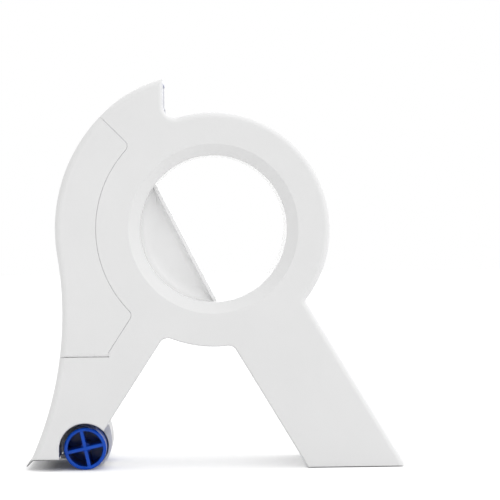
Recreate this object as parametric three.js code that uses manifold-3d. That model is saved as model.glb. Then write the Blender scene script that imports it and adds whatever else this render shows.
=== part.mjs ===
// A masking tape applicator: two snapped shell halves, a finger hub, a roll of tape, a roller,
// a cutting blade and a loading door. Millimetres, +Z up, X along the tool, Y across it.
// Everything is drawn about the hub's axis, and one group then stands the tool on its floor.
import * as THREE from "three";
import { mergeVertices } from "three/addons/utils/BufferGeometryUtils.js";
import Module from "manifold-3d";

const wasm = await Module();
wasm.setup();

// Driving dimensions of the whole tool
const bodyWidth = 62;
const wall = 2.4;
const faceRound = 2.6;
const seamY = -1.5;
const hubHeight = 116.4;
const fitGap = 0.3;
const overrun = 6;
const chordError = 0.13;

// Finger hub, its bore and the flare that leads into it
const hubOuterRadius = 37.5;
const hubWall = 1.9;
const boreRadius = hubOuterRadius - hubWall;
const flareRise = 5.5;
const flareRadius = boreRadius + flareRise;
const flareTilt = 62;
const flareRound = 2;
const flareWall = 1.5;
const rebateDepth = 2;
const rebateStep = 1;
const rebateRadius = hubOuterRadius - rebateStep;

// Palm plate, pockets and flange of the finger hub
const plateDistance = 15;
const plateAngle = 207;
const plateThickness = 1.7;
const plateSetback = 16;
const pocketDepth = 21;
const pocketFillet = 8;
const pocketWall = 2;
const ventSize = 3;
const flangeRise = 2.8;
const flangeThickness = 2;
const flangeGap = 0.6;

// Tape and its core, which turn on the hub
const coreGap = 0.6;
const coreInnerRadius = hubOuterRadius + coreGap;
const coreWall = 2.9;
const tapeThickness = 12.6;
const tapeRadius = coreInnerRadius + coreWall + tapeThickness;
const tapeSideGap = 0.5;
const tapeFarGap = 8.9;

// Disc that covers the roll, rim, horn and notch
const rollGap = 0.5;
const discRadius = tapeRadius + rollGap + wall;
const rimRadius = 78.5;
const rimShift = 1.7;
const hornDrop = 13;
const hornRadius = rimRadius - hornDrop;
const hornAngle = 133;
const hornMouthX = 23.6;
const notchShare = 0.2727;
const notchRadius = (rimRadius - discRadius) * notchShare;

// Neck, arch and leg
const neckWaistDrop = 4.7;
const neckWaistX = rimRadius - neckWaistDrop;
const neckCurveRadius = 172;
const neckFloorHeight = 5.4;
const neckBackAngle = 56.8;
const neckBackSetback = 0.24;
const archDrop = 0.7;
const archRadius = discRadius + archDrop;
const archNeckFillet = 4.5;
const archLegFillet = 4;
const legAngle = 59.2;
const legInnerOffset = 21.4;
const legOuterOffset = 19.8;
const legFillet = 1.5;
const legMouthLength = 23.5;
const legTabWidth = 12;
const legTabHeight = 9.5;
const legSlitPlace = 101.5;
const legSlitLength = 10;
const legSlitHeight = 0.8;

// Roller, its halves, axle and bracket
const rollerRadius = 10.3;
const rollerWall = 1.7;
const rollerSetback = 14.9;
const rollerX = rimRadius - rollerSetback;
const rollerInset = 3.8;
const rollerHubRadius = 2.5;
const spokeWidth = 1.7;
const spokeRecess = 0.35;
const spokeTurn = 12.2;
const rollerEndWall = 1.5;
const sleeveCap = 1.5;
const cheekCutRadius = 12.6;
const axleRadius = 1.6;
const axleSetback = 7;
const axleFit = 0.2;
const bushingRadius = 2.9;
const bossRadius = 4.6;
const webThickness = 3;
const washerThickness = 0.5;
const washerRadius = 3.6;
const sideFit = 0.15;
const webShare = 1.6;
const fanFromAngle = 62;
const fanUntilAngle = 195;
const barWidth = 6;
const barHeight = 5;
const barShiftX = 9;
const barShiftZ = 15.5;
const socketWall = 1.6;
const socketHeight = 4;

// Tape guide plate and the tongue that laps the roller
const guideRecess = 1;
const guideThickness = 2;
const guideTopDrop = 8;
const tongueWidth = 25;
const tongueWall = 1.1;
const tongueGap = 0.6;
const tongueBulgeRadius = 20;
const tongueTipAngle = -50;
const tongueTurnAngle = -20;
const tongueTopAngle = 27;
const guideSlotWidth = 1.4;
const guideSlotLength = 9;
const guideSlotFoot = 4;
const guideSlotEdge = 9;
const guideSlotDrop = 3;

// Blade, its holder and rivets
const bladeThickness = 0.5;
const bladeWidth = 52;
const bladeSeat = 12;
const bladeLip = 4.4;
const bladeLipAngle = 45;
const toothPitch = 2;
const toothDepth = 1.1;
const holderHeight = 6;
const rivetRadius = 1.3;
const rivetHeadRadius = 2.2;
const rivetHeadHeight = 0.8;
const rivetLength = 3.6;
const rivetInset = 10.3;

// Loading door and its hinge
const doorGap = 0.5;
const doorDepth = 10;
const doorArcStep = 0.5;
const doorTopAngle = 134.7;
const doorCornerRadius = 3;
const doorSlant = 18.5;
const doorBottomZ = 60.2;
const barrelRadius = 1.2;
const pinRadius = 0.5;
const pinFit = 0.15;
const hingeInset = 2.8;
const hingeLength = 17.4;
const shellKnuckle = 8;

// Snap hooks and their windows
const windowWidth = 11;
const windowHeight = 11.5;
const hubWindowX = 7.5;
const hubWindowRise = 9.8;
const hubWindowHeight = 10;
const neckWindowShift = 6.3;
const neckWindowZ = 72.4;
const legWindowPlace = 112;
const legWindowOffset = 1.5;
const hookWidth = 8;
const hookPost = 6;
const hookArm = 2;
const hookArmLength = 10;
const ledgeWidth = 2;
const ledgeThickness = 1;
const barbRecess = 0.2;

// Sides of the round pieces and steps of the rounded ones
const hubSides = 60;
const rollSides = 72;
const rollerSides = 40;
const cheekSides = 36;
const barrelRoomSides = 24;
const smallSides = 20;
const rivetSides = 16;
const pinSides = 12;
const bevelSteps = 3;
const flareSteps = 4;
const dishSteps = 5;

const rad = THREE.MathUtils.degToRad;
const faceY = bodyWidth / 2;
const insideY = faceY - wall;

// Where the flare's cone ends on its rounded lead-in, how deep it is, and the sleeve behind it
const flareFoot = boreRadius + flareRound * (1 - Math.cos(rad(flareTilt)));
const flareDepth =
  (flareRadius - flareFoot) / Math.tan(rad(flareTilt)) + flareRound * Math.sin(rad(flareTilt));
const sleeveRadius = coreInnerRadius - fitGap;

// Closed outline in the XZ plane, made of straight runs and of arcs split to a set chord error
class Outline {
  constructor() {
    this.points = [];
  }
  to(x, z) {
    this.points.push(new THREE.Vector2(x, z));
    return this;
  }
  arc(centre, radius, from, until) {
    const step = 2 * Math.acos(1 - chordError / radius);
    const count = Math.max(2, Math.ceil(Math.abs(until - from) / step));
    for (let i = 0; i <= count; i++) {
      const a = from + ((until - from) * i) / count;
      this.to(centre.x + radius * Math.cos(a), centre.y + radius * Math.sin(a));
    }
    return this;
  }
  shape() {
    return new THREE.Shape(this.points);
  }
}

// A geometry as a solid, with its faces turned outwards
function solid(geometry) {
  const bare = geometry.clone();
  bare.deleteAttribute("normal");
  bare.deleteAttribute("uv");
  const merged = mergeVertices(bare);
  const triVerts = new Uint32Array(merged.index.array);
  const vertProperties = merged.attributes.position.array;
  const made = new wasm.Manifold(new wasm.Mesh({ numProp: 3, vertProperties, triVerts }));
  if (made.volume() > 0) return made;
  for (let i = 0; i < triVerts.length; i += 3) {
    [triVerts[i + 1], triVerts[i + 2]] = [triVerts[i + 2], triVerts[i + 1]];
  }
  return new wasm.Manifold(new wasm.Mesh({ numProp: 3, vertProperties, triVerts }));
}

// An XZ outline run across the tool from y0 to y1
function prism(outline, y0, y1) {
  const geometry = new THREE.ExtrudeGeometry(outline.shape(), {
    depth: y1 - y0,
    bevelEnabled: false,
    curveSegments: 1,
  });
  return solid(geometry.rotateX(Math.PI / 2).translate(0, y1, 0));
}

// The same with both faces' edges rounded
function roundedPrism(outline, y0, y1, round) {
  const geometry = new THREE.ExtrudeGeometry(outline.shape(), {
    depth: y1 - y0 - 2 * round,
    bevelEnabled: true,
    bevelThickness: round,
    bevelSize: round,
    bevelOffset: -round,
    bevelSegments: bevelSteps,
    curveSegments: 1,
  });
  return solid(geometry.rotateX(Math.PI / 2).translate(0, y1 - round, 0));
}

// A box between two corners
function block(low, high) {
  const size = high.map((v, i) => v - low[i]);
  const middle = high.map((v, i) => (v + low[i]) / 2);
  return solid(new THREE.BoxGeometry(...size).translate(...middle));
}

// A block drawn about the origin, turned in the XZ plane and set down at a place
function turnedBlock(along, across, y0, y1, angle, x, z) {
  const geometry = new THREE.BoxGeometry(across, y1 - y0, along);
  geometry.rotateY(-angle).translate(x, (y0 + y1) / 2, z);
  return solid(geometry);
}

// A turned solid about an axis that runs across the tool
function turned(profile, segments, x = 0, z = 0) {
  const points = profile.map(([r, y]) => new THREE.Vector2(r, y));
  return solid(new THREE.LatheGeometry(points, segments).translate(x, 0, z));
}

function rod(radius, y0, y1, segments, x = 0, z = 0) {
  const profile = [[0, y0], [radius, y0], [radius, y1], [0, y1]];
  return turned(profile, segments, x, z);
}

function pipe(inner, outer, y0, y1, segments, x = 0, z = 0) {
  const profile = [[inner, y0], [outer, y0], [outer, y1], [inner, y1], [inner, y0]];
  return turned(profile, segments, x, z);
}

// A rod along X, as the door's hinge has
function rodX(radius, x0, x1, y, z, segments) {
  const geometry = new THREE.CylinderGeometry(radius, radius, x1 - x0, segments);
  geometry.rotateZ(Math.PI / 2).translate((x0 + x1) / 2, y, z);
  return solid(geometry);
}

const join = (first, ...rest) => rest.reduce((a, b) => a.add(b), first);
const cut = (first, ...rest) => rest.reduce((a, b) => a.subtract(b), first);

// Fixed places of the side outline, about the hub's axis
const hub = new THREE.Vector2(0, 0);
const floorZ = -hubHeight;
const neckFloorZ = floorZ + neckFloorHeight;
const rollerCentre = new THREE.Vector2(-rollerX, floorZ + rollerRadius);
const rimCentre = new THREE.Vector2(rimShift, 0);
const neckX = -neckWaistX - neckCurveRadius;
const neckRise = (rimRadius + neckCurveRadius) ** 2 - (neckX - rimShift) ** 2;
const neckCentre = new THREE.Vector2(neckX, -Math.sqrt(neckRise));
const rimNeckAngle = Math.atan2(neckCentre.y, neckX - rimShift) + 2 * Math.PI;
const hornTurn = new THREE.Vector2(Math.cos(rad(hornAngle)), Math.sin(rad(hornAngle)));
const hornCentre = hornTurn.clone().multiplyScalar(rimRadius - hornRadius).add(rimCentre);
const notchCentre = new THREE.Vector2(
  notchRadius - hornMouthX,
  Math.sqrt((discRadius + notchRadius) ** 2 - (notchRadius - hornMouthX) ** 2),
);

// Slanted lines: unit vectors down the leg, up the neck's back, and their outward normals
const legDown = new THREE.Vector2(Math.cos(rad(legAngle)), -Math.sin(rad(legAngle)));
const legOut = new THREE.Vector2(Math.sin(rad(legAngle)), Math.cos(rad(legAngle)));
const neckUp = new THREE.Vector2(Math.cos(rad(neckBackAngle)), Math.sin(rad(neckBackAngle)));
const neckOut = new THREE.Vector2(Math.sin(rad(neckBackAngle)), -Math.cos(rad(neckBackAngle)));

// The neck's back meets its floor just behind the roller's axis
const neckFoot = new THREE.Vector2(-rollerX, neckFloorZ);
const neckBackOffset = neckFoot.dot(neckOut) + neckBackSetback;

// The point of a slanted line at a height, at a distance from the hub, or at a length along it
const xAtHeight = (out, offset, z) => (offset - out.y * z) / out.x;
const onLine = (out, offset, along, length) =>
  out.clone().multiplyScalar(offset).addScaledVector(along, length);
const reach = (offset, radius) => Math.sqrt(radius ** 2 - offset ** 2);
const angleOf = (v) => Math.atan2(v.y, v.x);
const farOut = hubHeight + rimRadius;
const legMouthStart = reach(legOuterOffset, discRadius);

// Centres of the fillets where the arch meets neck and leg, and where leg meets disc
const archNeckCentre = onLine(
  neckOut,
  neckBackOffset + archNeckFillet,
  neckUp,
  -reach(neckBackOffset + archNeckFillet, archRadius + archNeckFillet),
);
const archLegCentre = onLine(
  legOut,
  -legInnerOffset - archLegFillet,
  legDown,
  reach(legInnerOffset + archLegFillet, archRadius + archLegFillet),
);
const legDiscCentre = onLine(
  legOut,
  legOuterOffset + legFillet,
  legDown,
  reach(legOuterOffset + legFillet, discRadius + legFillet),
);

// X of the neck's front curve at a height, at a depth inside its face
function neckFrontX(z, depth) {
  return neckX + Math.sqrt((neckCurveRadius + depth) ** 2 - (z - neckCentre.y) ** 2);
}

// The tool's side outline, counter-clockwise from the neck's lower front corner
function bodyOutline() {
  const o = new Outline();
  const below = floorZ - overrun;
  const archFrom = angleOf(archNeckCentre);
  const archUntil = angleOf(archLegCentre);
  const neckEnd = Math.asin((below - neckCentre.y) / neckCurveRadius);
  o.to(xAtHeight(neckOut, neckBackOffset, below), below);
  o.arc(archNeckCentre, archNeckFillet, angleOf(neckOut) + Math.PI, archFrom + Math.PI);
  o.arc(hub, archRadius, archFrom, archUntil);
  o.arc(archLegCentre, archLegFillet, archUntil + Math.PI, angleOf(legOut));
  o.to(xAtHeight(legOut, -legInnerOffset, below), below);
  o.to(xAtHeight(legOut, legOuterOffset, below), below);
  o.arc(legDiscCentre, legFillet, angleOf(legOut) + Math.PI, angleOf(legDiscCentre) + Math.PI);
  o.arc(hub, discRadius, angleOf(legDiscCentre), angleOf(notchCentre));
  o.arc(notchCentre, notchRadius, angleOf(notchCentre) - Math.PI, -Math.PI);
  const hornEnd = Math.acos((-hornMouthX - hornCentre.x) / hornRadius);
  o.arc(hornCentre, hornRadius, hornEnd, rad(hornAngle));
  o.arc(rimCentre, rimRadius, rad(hornAngle), rimNeckAngle);
  o.arc(neckCentre, neckCurveRadius, rimNeckAngle - Math.PI, neckEnd);
  return o;
}

// The hollow that the two halves hold between their side walls
function cavityOutline() {
  const o = new Outline();
  const below = neckFloorZ - overrun;
  const outside = discRadius + overrun;
  const legFloor = floorZ + wall;
  const mouthEnd = legMouthStart + legMouthLength;
  const mouthX = -hornMouthX + overrun;
  const archFrom = angleOf(archNeckCentre);
  const rimInside = rimRadius - wall;
  const hornInside = hornRadius - wall;
  const hornEnd = Math.acos((mouthX - hornCentre.x) / hornInside);
  o.to(xAtHeight(neckOut, neckBackOffset + overrun, below), below);
  const slotTop = neckOut.clone().multiplyScalar(overrun).add(archNeckCentre);
  o.to(slotTop.x, slotTop.y);
  const inside = archRadius - wall;
  const legChord = reach(legInnerOffset - wall, inside);
  const legStart = onLine(legOut, wall - legInnerOffset, legDown, legChord);
  o.arc(hub, inside, archFrom, angleOf(legStart));
  o.to(xAtHeight(legOut, wall - legInnerOffset, legFloor), legFloor);
  o.to(xAtHeight(legOut, legOuterOffset - wall, legFloor), legFloor);
  const lip = onLine(legOut, legOuterOffset - wall, legDown, mouthEnd);
  const lipOut = onLine(legOut, legOuterOffset + overrun, legDown, mouthEnd);
  o.to(lip.x, lip.y).to(lipOut.x, lipOut.y);
  o.arc(hub, outside, angleOf(legDiscCentre), Math.acos(mouthX / outside));
  o.arc(hornCentre, hornInside, hornEnd, rad(hornAngle));
  o.arc(rimCentre, rimInside, rad(hornAngle), rimNeckAngle);
  const neckEnd = Math.asin((below - neckCentre.y) / (neckCurveRadius + wall));
  o.arc(neckCentre, neckCurveRadius + wall, rimNeckAngle - Math.PI, neckEnd);
  return o;
}

// The loading door's outline, grown all round by an amount, and carried out past the rim
function doorOutline(grow) {
  const o = new Outline();
  const out = rimRadius + overrun;
  const bottom = -doorBottomZ - grow;
  const slant = neckBackOffset - doorSlant;
  const arc = discRadius + doorArcStep;
  const corner = doorCornerRadius;
  const topTurn = rad(doorTopAngle);
  const topAlong = new THREE.Vector2(Math.cos(topTurn), Math.sin(topTurn));
  const topNormal = new THREE.Vector2(topAlong.y, -topAlong.x);
  const topCentre = onLine(topNormal, -corner, topAlong, reach(corner, arc + corner));
  const lowCentre = onLine(neckOut, slant - corner, neckUp, -reach(slant - corner, arc + corner));
  const neckNormalAngle = angleOf(neckOut);
  const lowAngle = angleOf(lowCentre);
  o.to(-out, bottom).to(xAtHeight(neckOut, slant + grow, bottom), bottom);
  o.arc(lowCentre, corner + grow, neckNormalAngle, lowAngle + Math.PI);
  o.arc(hub, arc - grow, lowAngle + 2 * Math.PI, angleOf(topCentre));
  o.arc(topCentre, corner + grow, angleOf(topCentre) - Math.PI, angleOf(topNormal));
  const end = onLine(topNormal, grow, topAlong, out);
  o.to(end.x, end.y).to(-out, end.y);
  return o;
}

// The whole body before it is hollowed: rounded faces, flat under neck and leg
function bodySolid() {
  const blank = roundedPrism(bodyOutline(), -faceY, faceY, faceRound);
  const wide = bodyWidth;
  return cut(
    blank,
    block([-farOut, -wide, -farOut], [farOut, wide, floorZ]),
    block([-farOut, -wide, -farOut], [0, wide, neckFloorZ]),
  );
}

// The flared lead-in of one side, drawn for the far side and mirrored by a sign
function flareRing(side) {
  const end = faceY - flareDepth;
  const points = [[flareRadius, faceY]];
  for (let i = 0; i <= flareSteps; i++) {
    const tilt = rad(flareTilt) * (1 - i / flareSteps);
    points.push([
      boreRadius + flareRound * (1 - Math.cos(tilt)),
      end + flareRound * Math.sin(tilt),
    ]);
  }
  points.push([rebateRadius + fitGap, end]);
  points.push([rebateRadius + fitGap, end - rebateDepth + fitGap]);
  points.push([sleeveRadius, end - rebateDepth + fitGap]);
  points.push([sleeveRadius, insideY]);
  points.push([flareRadius + flareWall, insideY]);
  points.push([flareRadius + flareWall, faceY]);
  points.push([flareRadius, faceY]);
  return turned(points.map(([r, y]) => [r, y * side]), hubSides);
}

// What both halves share: side wall, rim walls, flare and the roller's cut-out
function halfShell(side) {
  const seam = seamY + (side * fitGap) / 2;
  const wide = bodyWidth;
  const kept = side < 0
    ? block([-farOut, -wide, -farOut], [farOut, seam, farOut])
    : block([-farOut, seam, -farOut], [farOut, wide, farOut]);
  const hollow = side < 0
    ? prism(cavityOutline(), -insideY, seam + overrun)
    : prism(cavityOutline(), seam - overrun, insideY);
  const holeRadius = flareRadius + flareWall / 2;
  const hole = rod(holeRadius, -wide, wide, hubSides);
  const cheek = rod(cheekCutRadius, -wide, wide, cheekSides, rollerCentre.x, rollerCentre.y);
  const under = block(
    [rollerCentre.x - cheekCutRadius, -wide, floorZ - overrun],
    [rollerCentre.x + cheekCutRadius + overrun, wide, rollerCentre.y],
  );
  const body = bodySolid().intersect(kept);
  return join(cut(body, hollow, hole, cheek, under), flareRing(side));
}

// The bar that carries the roller's bracket, and the sockets that hold its ends
const barCentre = new THREE.Vector2(rollerCentre.x - barShiftX, rollerCentre.y + barShiftZ);

function barSocket(side) {
  const low = [barCentre.x - barWidth / 2, barCentre.y - barHeight / 2];
  const high = [barCentre.x + barWidth / 2, barCentre.y + barHeight / 2];
  const from = side < 0 ? -insideY - wall / 2 : insideY - socketHeight;
  const until = side < 0 ? -insideY + socketHeight : insideY + wall / 2;
  const grown = (g, y0, y1) =>
    block([low[0] - g, y0, low[1] - g], [high[0] + g, y1, high[1] + g]);
  const room = side < 0
    ? grown(fitGap, -insideY, until + overrun)
    : grown(fitGap, from - overrun, insideY);
  return cut(grown(socketWall, from, until), room);
}

// The three windows of the far half: above the hub, on the neck and on the leg. Each has a
// ledge inside, on the side that its hook's barb lies over
const legWindow = onLine(legOut, -legWindowOffset, legDown, legWindowPlace);
const legTurn = Math.PI / 2 - rad(legAngle);
const windows = {
  hub: {
    x: -hubWindowX,
    z: hubOuterRadius + hubWindowRise,
    turn: Math.PI,
    height: hubWindowHeight,
  },
  neck: { x: neckWindowShift - rollerX, z: -neckWindowZ, turn: 0, height: windowHeight },
  leg: { x: legWindow.x, z: legWindow.y, turn: legTurn, height: windowHeight },
};

// A block of a window or its hook, shifted along the window's own upward direction
function windowBlock({ x, z, turn }, shift, along, across, y0, y1) {
  const up = new THREE.Vector2(-Math.sin(turn), Math.cos(turn)).multiplyScalar(shift);
  return turnedBlock(along, across, y0, y1, turn, x + up.x, z + up.y);
}

function windowCut(place) {
  const ledgeTop = insideY + ledgeThickness;
  const { height } = place;
  const inner = height - ledgeWidth;
  return join(
    windowBlock(place, 0, height, windowWidth, ledgeTop, faceY + overrun),
    windowBlock(place, -ledgeWidth / 2, inner, windowWidth, insideY - overrun, ledgeTop),
  );
}

// A hook's springing arm, from where it starts to its tip, and the barb over the ledge
function hookTip(place, from) {
  const tip = faceY - barbRecess;
  const top = place.height / 2 - ledgeWidth - fitGap;
  const barbTop = place.height / 2 - fitGap;
  const barb = barbTop - top + hookArm;
  return join(
    windowBlock(place, top - hookArm / 2, hookArm, hookWidth, from, tip),
    windowBlock(place, barbTop - barb / 2, barb, hookWidth, insideY + ledgeThickness + fitGap, tip),
  );
}

// A hook of the near half stands on a thicker post
function snapHook(place) {
  const armFrom = insideY - hookArmLength;
  const top = place.height / 2 - ledgeWidth - fitGap;
  return join(
    windowBlock(place, top - hookPost / 2, hookPost, hookWidth, -insideY - wall / 2, armFrom),
    hookTip(place, armFrom - hookArm),
  );
}

// Hinge of the loading door, along X in the near face
const hingeY = -faceY + barrelRadius;
const hingeZ = -doorBottomZ;
const hingeStart = neckWaistX - hingeInset;
const hingeEnd = hingeStart - hingeLength;
const hingeMiddle = -(hingeStart + hingeEnd) / 2;
const knuckleLow = hingeMiddle - shellKnuckle / 2;
const knuckleHigh = hingeMiddle + shellKnuckle / 2;
const pinBore = () =>
  rodX(pinRadius + pinFit, -hingeStart - overrun, -hingeEnd + overrun, hingeY, hingeZ, pinSides);

function nearShell() {
  const doorRoom = prism(doorOutline(doorGap), -faceY - overrun, -faceY + doorDepth + fitGap);
  const swingRadius = barrelRadius + fitGap;
  const grooveX = xAtHeight(neckOut, neckBackOffset - doorSlant + doorGap, hingeZ + swingRadius);
  const groove = block(
    [-rimRadius - overrun, -faceY - overrun, hingeZ - swingRadius],
    [grooveX, hingeY, hingeZ],
  );
  const barrelRoom = rodX(
    swingRadius,
    -hingeStart - overrun,
    grooveX,
    hingeY,
    hingeZ,
    barrelRoomSides,
  );
  const knuckle = join(
    rodX(barrelRadius, knuckleLow, knuckleHigh, hingeY, hingeZ, smallSides),
    block(
      [knuckleLow, hingeY, hingeZ - barrelRadius * 2 - fitGap],
      [knuckleHigh, hingeY + barrelRadius, hingeZ],
    ),
  );
  const shell = join(
    cut(halfShell(-1), doorRoom, groove, barrelRoom),
    barSocket(-1),
    snapHook(windows.neck),
    snapHook(windows.leg),
    knuckle,
  );
  return cut(shell, pinBore());
}

function farShell() {
  const tabPlace = legMouthStart + legMouthLength - legTabHeight / 2;
  const tab = onLine(legOut, legOuterOffset - wall / 2, legDown, tabPlace + wall / 2);
  const slit = onLine(legOut, legOuterOffset - wall / 2, legDown, legSlitPlace);
  return join(
    cut(
      halfShell(1),
      ...Object.values(windows).map(windowCut),
      turnedBlock(
        legSlitHeight,
        wall + overrun,
        seamY + wall,
        seamY + wall + legSlitLength,
        legTurn,
        slit.x,
        slit.y,
      ),
    ),
    turnedBlock(
      legTabHeight + wall,
      wall,
      insideY - legTabWidth,
      insideY + wall / 2,
      legTurn,
      tab.x,
      tab.y,
    ),
    barSocket(1),
  );
}

function loadingDoor() {
  const region = prism(doorOutline(0), -faceY, -faceY + doorDepth);
  const hollow = prism(cavityOutline(), -insideY, faceY);
  const panel = cut(bodySolid().intersect(region), hollow);
  const knuckles = [
    rodX(barrelRadius, -hingeStart, knuckleLow - fitGap, hingeY, hingeZ, smallSides),
    rodX(barrelRadius, knuckleHigh + fitGap, -hingeEnd, hingeY, hingeZ, smallSides),
  ];
  const reachIn = rodX(
    barrelRadius + fitGap,
    knuckleLow - fitGap,
    knuckleHigh + fitGap,
    hingeY,
    hingeZ,
    barrelRoomSides,
  );
  return cut(join(cut(panel, reachIn), ...knuckles), pinBore());
}

function hingePin() {
  return rodX(pinRadius, -hingeStart, -hingeEnd, hingeY, hingeZ, pinSides);
}

// The finger hub: a tube between the two flares, a palm plate with a pocket on either side,
// and a flange that stops the roll, with the hook that holds the hub to the far half
const toPlate = new THREE.Vector2(Math.cos(rad(plateAngle)), Math.sin(rad(plateAngle)));

// A block across the hub, between two distances from its axis towards the palm plate
function acrossHub(near, far, y0, y1) {
  const middle = toPlate.clone().multiplyScalar((near + far) / 2);
  return turnedBlock(bodyWidth * 2, far - near, y0, y1, rad(plateAngle), middle.x, middle.y);
}

// A pocket's floor, with a wide fillet up to the hub's wall
function pocketFloor(side) {
  const floor = faceY - pocketDepth;
  const wallMiddle = (boreRadius + rebateRadius) / 2;
  const points = [[0, floor - pocketWall], [wallMiddle, floor - pocketWall]];
  points.push([wallMiddle, floor + pocketFillet]);
  for (let i = 0; i <= dishSteps; i++) {
    const a = (Math.PI / 2) * (i / dishSteps);
    const r = boreRadius - pocketFillet * (1 - Math.cos(a));
    points.push([r, floor + pocketFillet * (1 - Math.sin(a))]);
  }
  points.push([0, floor]);
  const dish = turned(points.map(([r, y]) => [r, y * side]), hubSides);
  const behind = plateDistance + plateThickness / 2;
  return dish.intersect(acrossHub(behind, boreRadius + overrun, -faceY, faceY));
}

function gripHub() {
  const end = faceY - flareDepth - fitGap;
  const step = end - rebateDepth;
  const flangeFrom = tapeUntil + flangeGap;
  const flangeTo = flangeFrom + flangeThickness;
  const flangeRadius = hubOuterRadius + flangeRise;
  const tube = turned(
    [
      [boreRadius, -end],
      [rebateRadius, -end],
      [rebateRadius, -step],
      [hubOuterRadius, -step],
      [hubOuterRadius, flangeFrom],
      [flangeRadius, flangeFrom],
      [flangeRadius, flangeTo],
      [hubOuterRadius, flangeTo],
      [hubOuterRadius, step],
      [rebateRadius, step],
      [rebateRadius, end],
      [boreRadius, end],
      [boreRadius, -end],
    ],
    hubSides,
  );
  const inside = rod((boreRadius + rebateRadius) / 2, -faceY, faceY, hubSides);
  const plateEnd = faceY - plateSetback;
  const plate = acrossHub(plateDistance, plateDistance + plateThickness, -plateEnd, plateEnd);
  const vent = acrossHub(boreRadius - overrun, hubOuterRadius + overrun, -ventSize, ventSize);
  const ventColumn = turnedBlock(
    ventSize,
    bodyWidth * 2,
    -faceY,
    faceY,
    rad(plateAngle),
    toPlate.x * hubOuterRadius,
    toPlate.y * hubOuterRadius,
  );
  const { hub: place } = windows;
  const armTop = place.z - place.height / 2 + ledgeWidth + fitGap + hookArm;
  const riser = block(
    [place.x - hookWidth / 2, flangeFrom, (hubOuterRadius + rebateRadius) / 2],
    [place.x + hookWidth / 2, flangeTo, armTop],
  );
  return cut(
    join(
      tube,
      plate.intersect(inside),
      pocketFloor(-1),
      pocketFloor(1),
      riser,
      hookTip(place, flangeFrom),
    ),
    vent.intersect(ventColumn),
  );
}

// The roll of tape on its paper core, pushed towards the near side
const tapeFrom = -insideY + tapeSideGap;
const tapeUntil = insideY - tapeFarGap;

function tapeCore() {
  return pipe(coreInnerRadius, coreInnerRadius + coreWall, tapeFrom, tapeUntil, hubSides);
}

function tapeRoll() {
  return pipe(coreInnerRadius + coreWall + fitGap, tapeRadius, tapeFrom, tapeUntil, rollSides);
}

// The roller: two blue halves with spoked ends on one axle, with the bracket's web between
const webHalf = webThickness / 2;
const halfStart = webHalf + washerThickness + 2 * sideFit;
const rollerEnd = faceY - rollerInset;

const axleEnd = rollerEnd - axleSetback;

function rollerHalf(side) {
  const { x, y: z } = rollerCentre;
  const span = (from, until) => (side < 0 ? [-until, -from] : [from, until]);
  const rim = span(halfStart, rollerEnd);
  const floorWall = span(halfStart, halfStart + rollerEndWall);
  const sleeve = span(halfStart, axleEnd + fitGap + sleeveCap);
  const spoke = span(halfStart, rollerEnd - spokeRecess);
  const bore = span(halfStart - overrun, axleEnd + fitGap);
  const length = 2 * rollerRadius - rollerWall;
  const body = join(
    pipe(rollerRadius - rollerWall, rollerRadius, ...rim, rollerSides, x, z),
    rod(rollerHubRadius, ...sleeve, smallSides, x, z),
    rod(rollerRadius - rollerWall / 2, ...floorWall, rollerSides, x, z),
    ...[0, Math.PI / 2].map((a) =>
      turnedBlock(length, spokeWidth, ...spoke, a + rad(spokeTurn), x, z),
    ),
  );
  return cut(body, rod(axleRadius + axleFit, ...bore, smallSides, x, z));
}

function rollerAxle() {
  return rod(axleRadius, -axleEnd, axleEnd, smallSides, rollerCentre.x, rollerCentre.y);
}

function axleBushing() {
  const { x, y: z } = rollerCentre;
  return pipe(axleRadius + axleFit, bushingRadius, -webHalf, webHalf, smallSides, x, z);
}

function thrustWasher(side) {
  const near = side * (webHalf + sideFit);
  const far = side * (webHalf + sideFit + washerThickness);
  const { x, y: z } = rollerCentre;
  const [y0, y1] = near < far ? [near, far] : [far, near];
  return pipe(axleRadius + axleFit, washerRadius, y0, y1, smallSides, x, z);
}

// The bracket: a bar between the two halves, a web that comes down to the axle between the
// roller's halves and fans out in front of them, and the tongue that it holds behind them
const tongueInner = rollerRadius + tongueGap;
const tongueOuter = tongueInner + tongueWall;
const tongueTurn = rad(tongueTurnAngle);
const tongueTop = rad(tongueTopAngle);
const tongueBulge = new THREE.Vector2(Math.cos(tongueTurn), Math.sin(tongueTurn))
  .multiplyScalar(tongueOuter - tongueBulgeRadius)
  .add(rollerCentre);
const tongueEnd = new THREE.Vector2(Math.cos(tongueTop), Math.sin(tongueTop))
  .multiplyScalar(tongueBulgeRadius)
  .add(tongueBulge);

function tongueOutline() {
  return new Outline()
    .arc(rollerCentre, tongueOuter, rad(tongueTipAngle), tongueTurn)
    .arc(tongueBulge, tongueBulgeRadius, tongueTurn, tongueTop)
    .arc(tongueBulge, tongueBulgeRadius - tongueWall, tongueTop, tongueTurn)
    .arc(rollerCentre, tongueInner, tongueTurn, rad(tongueTipAngle));
}

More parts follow.
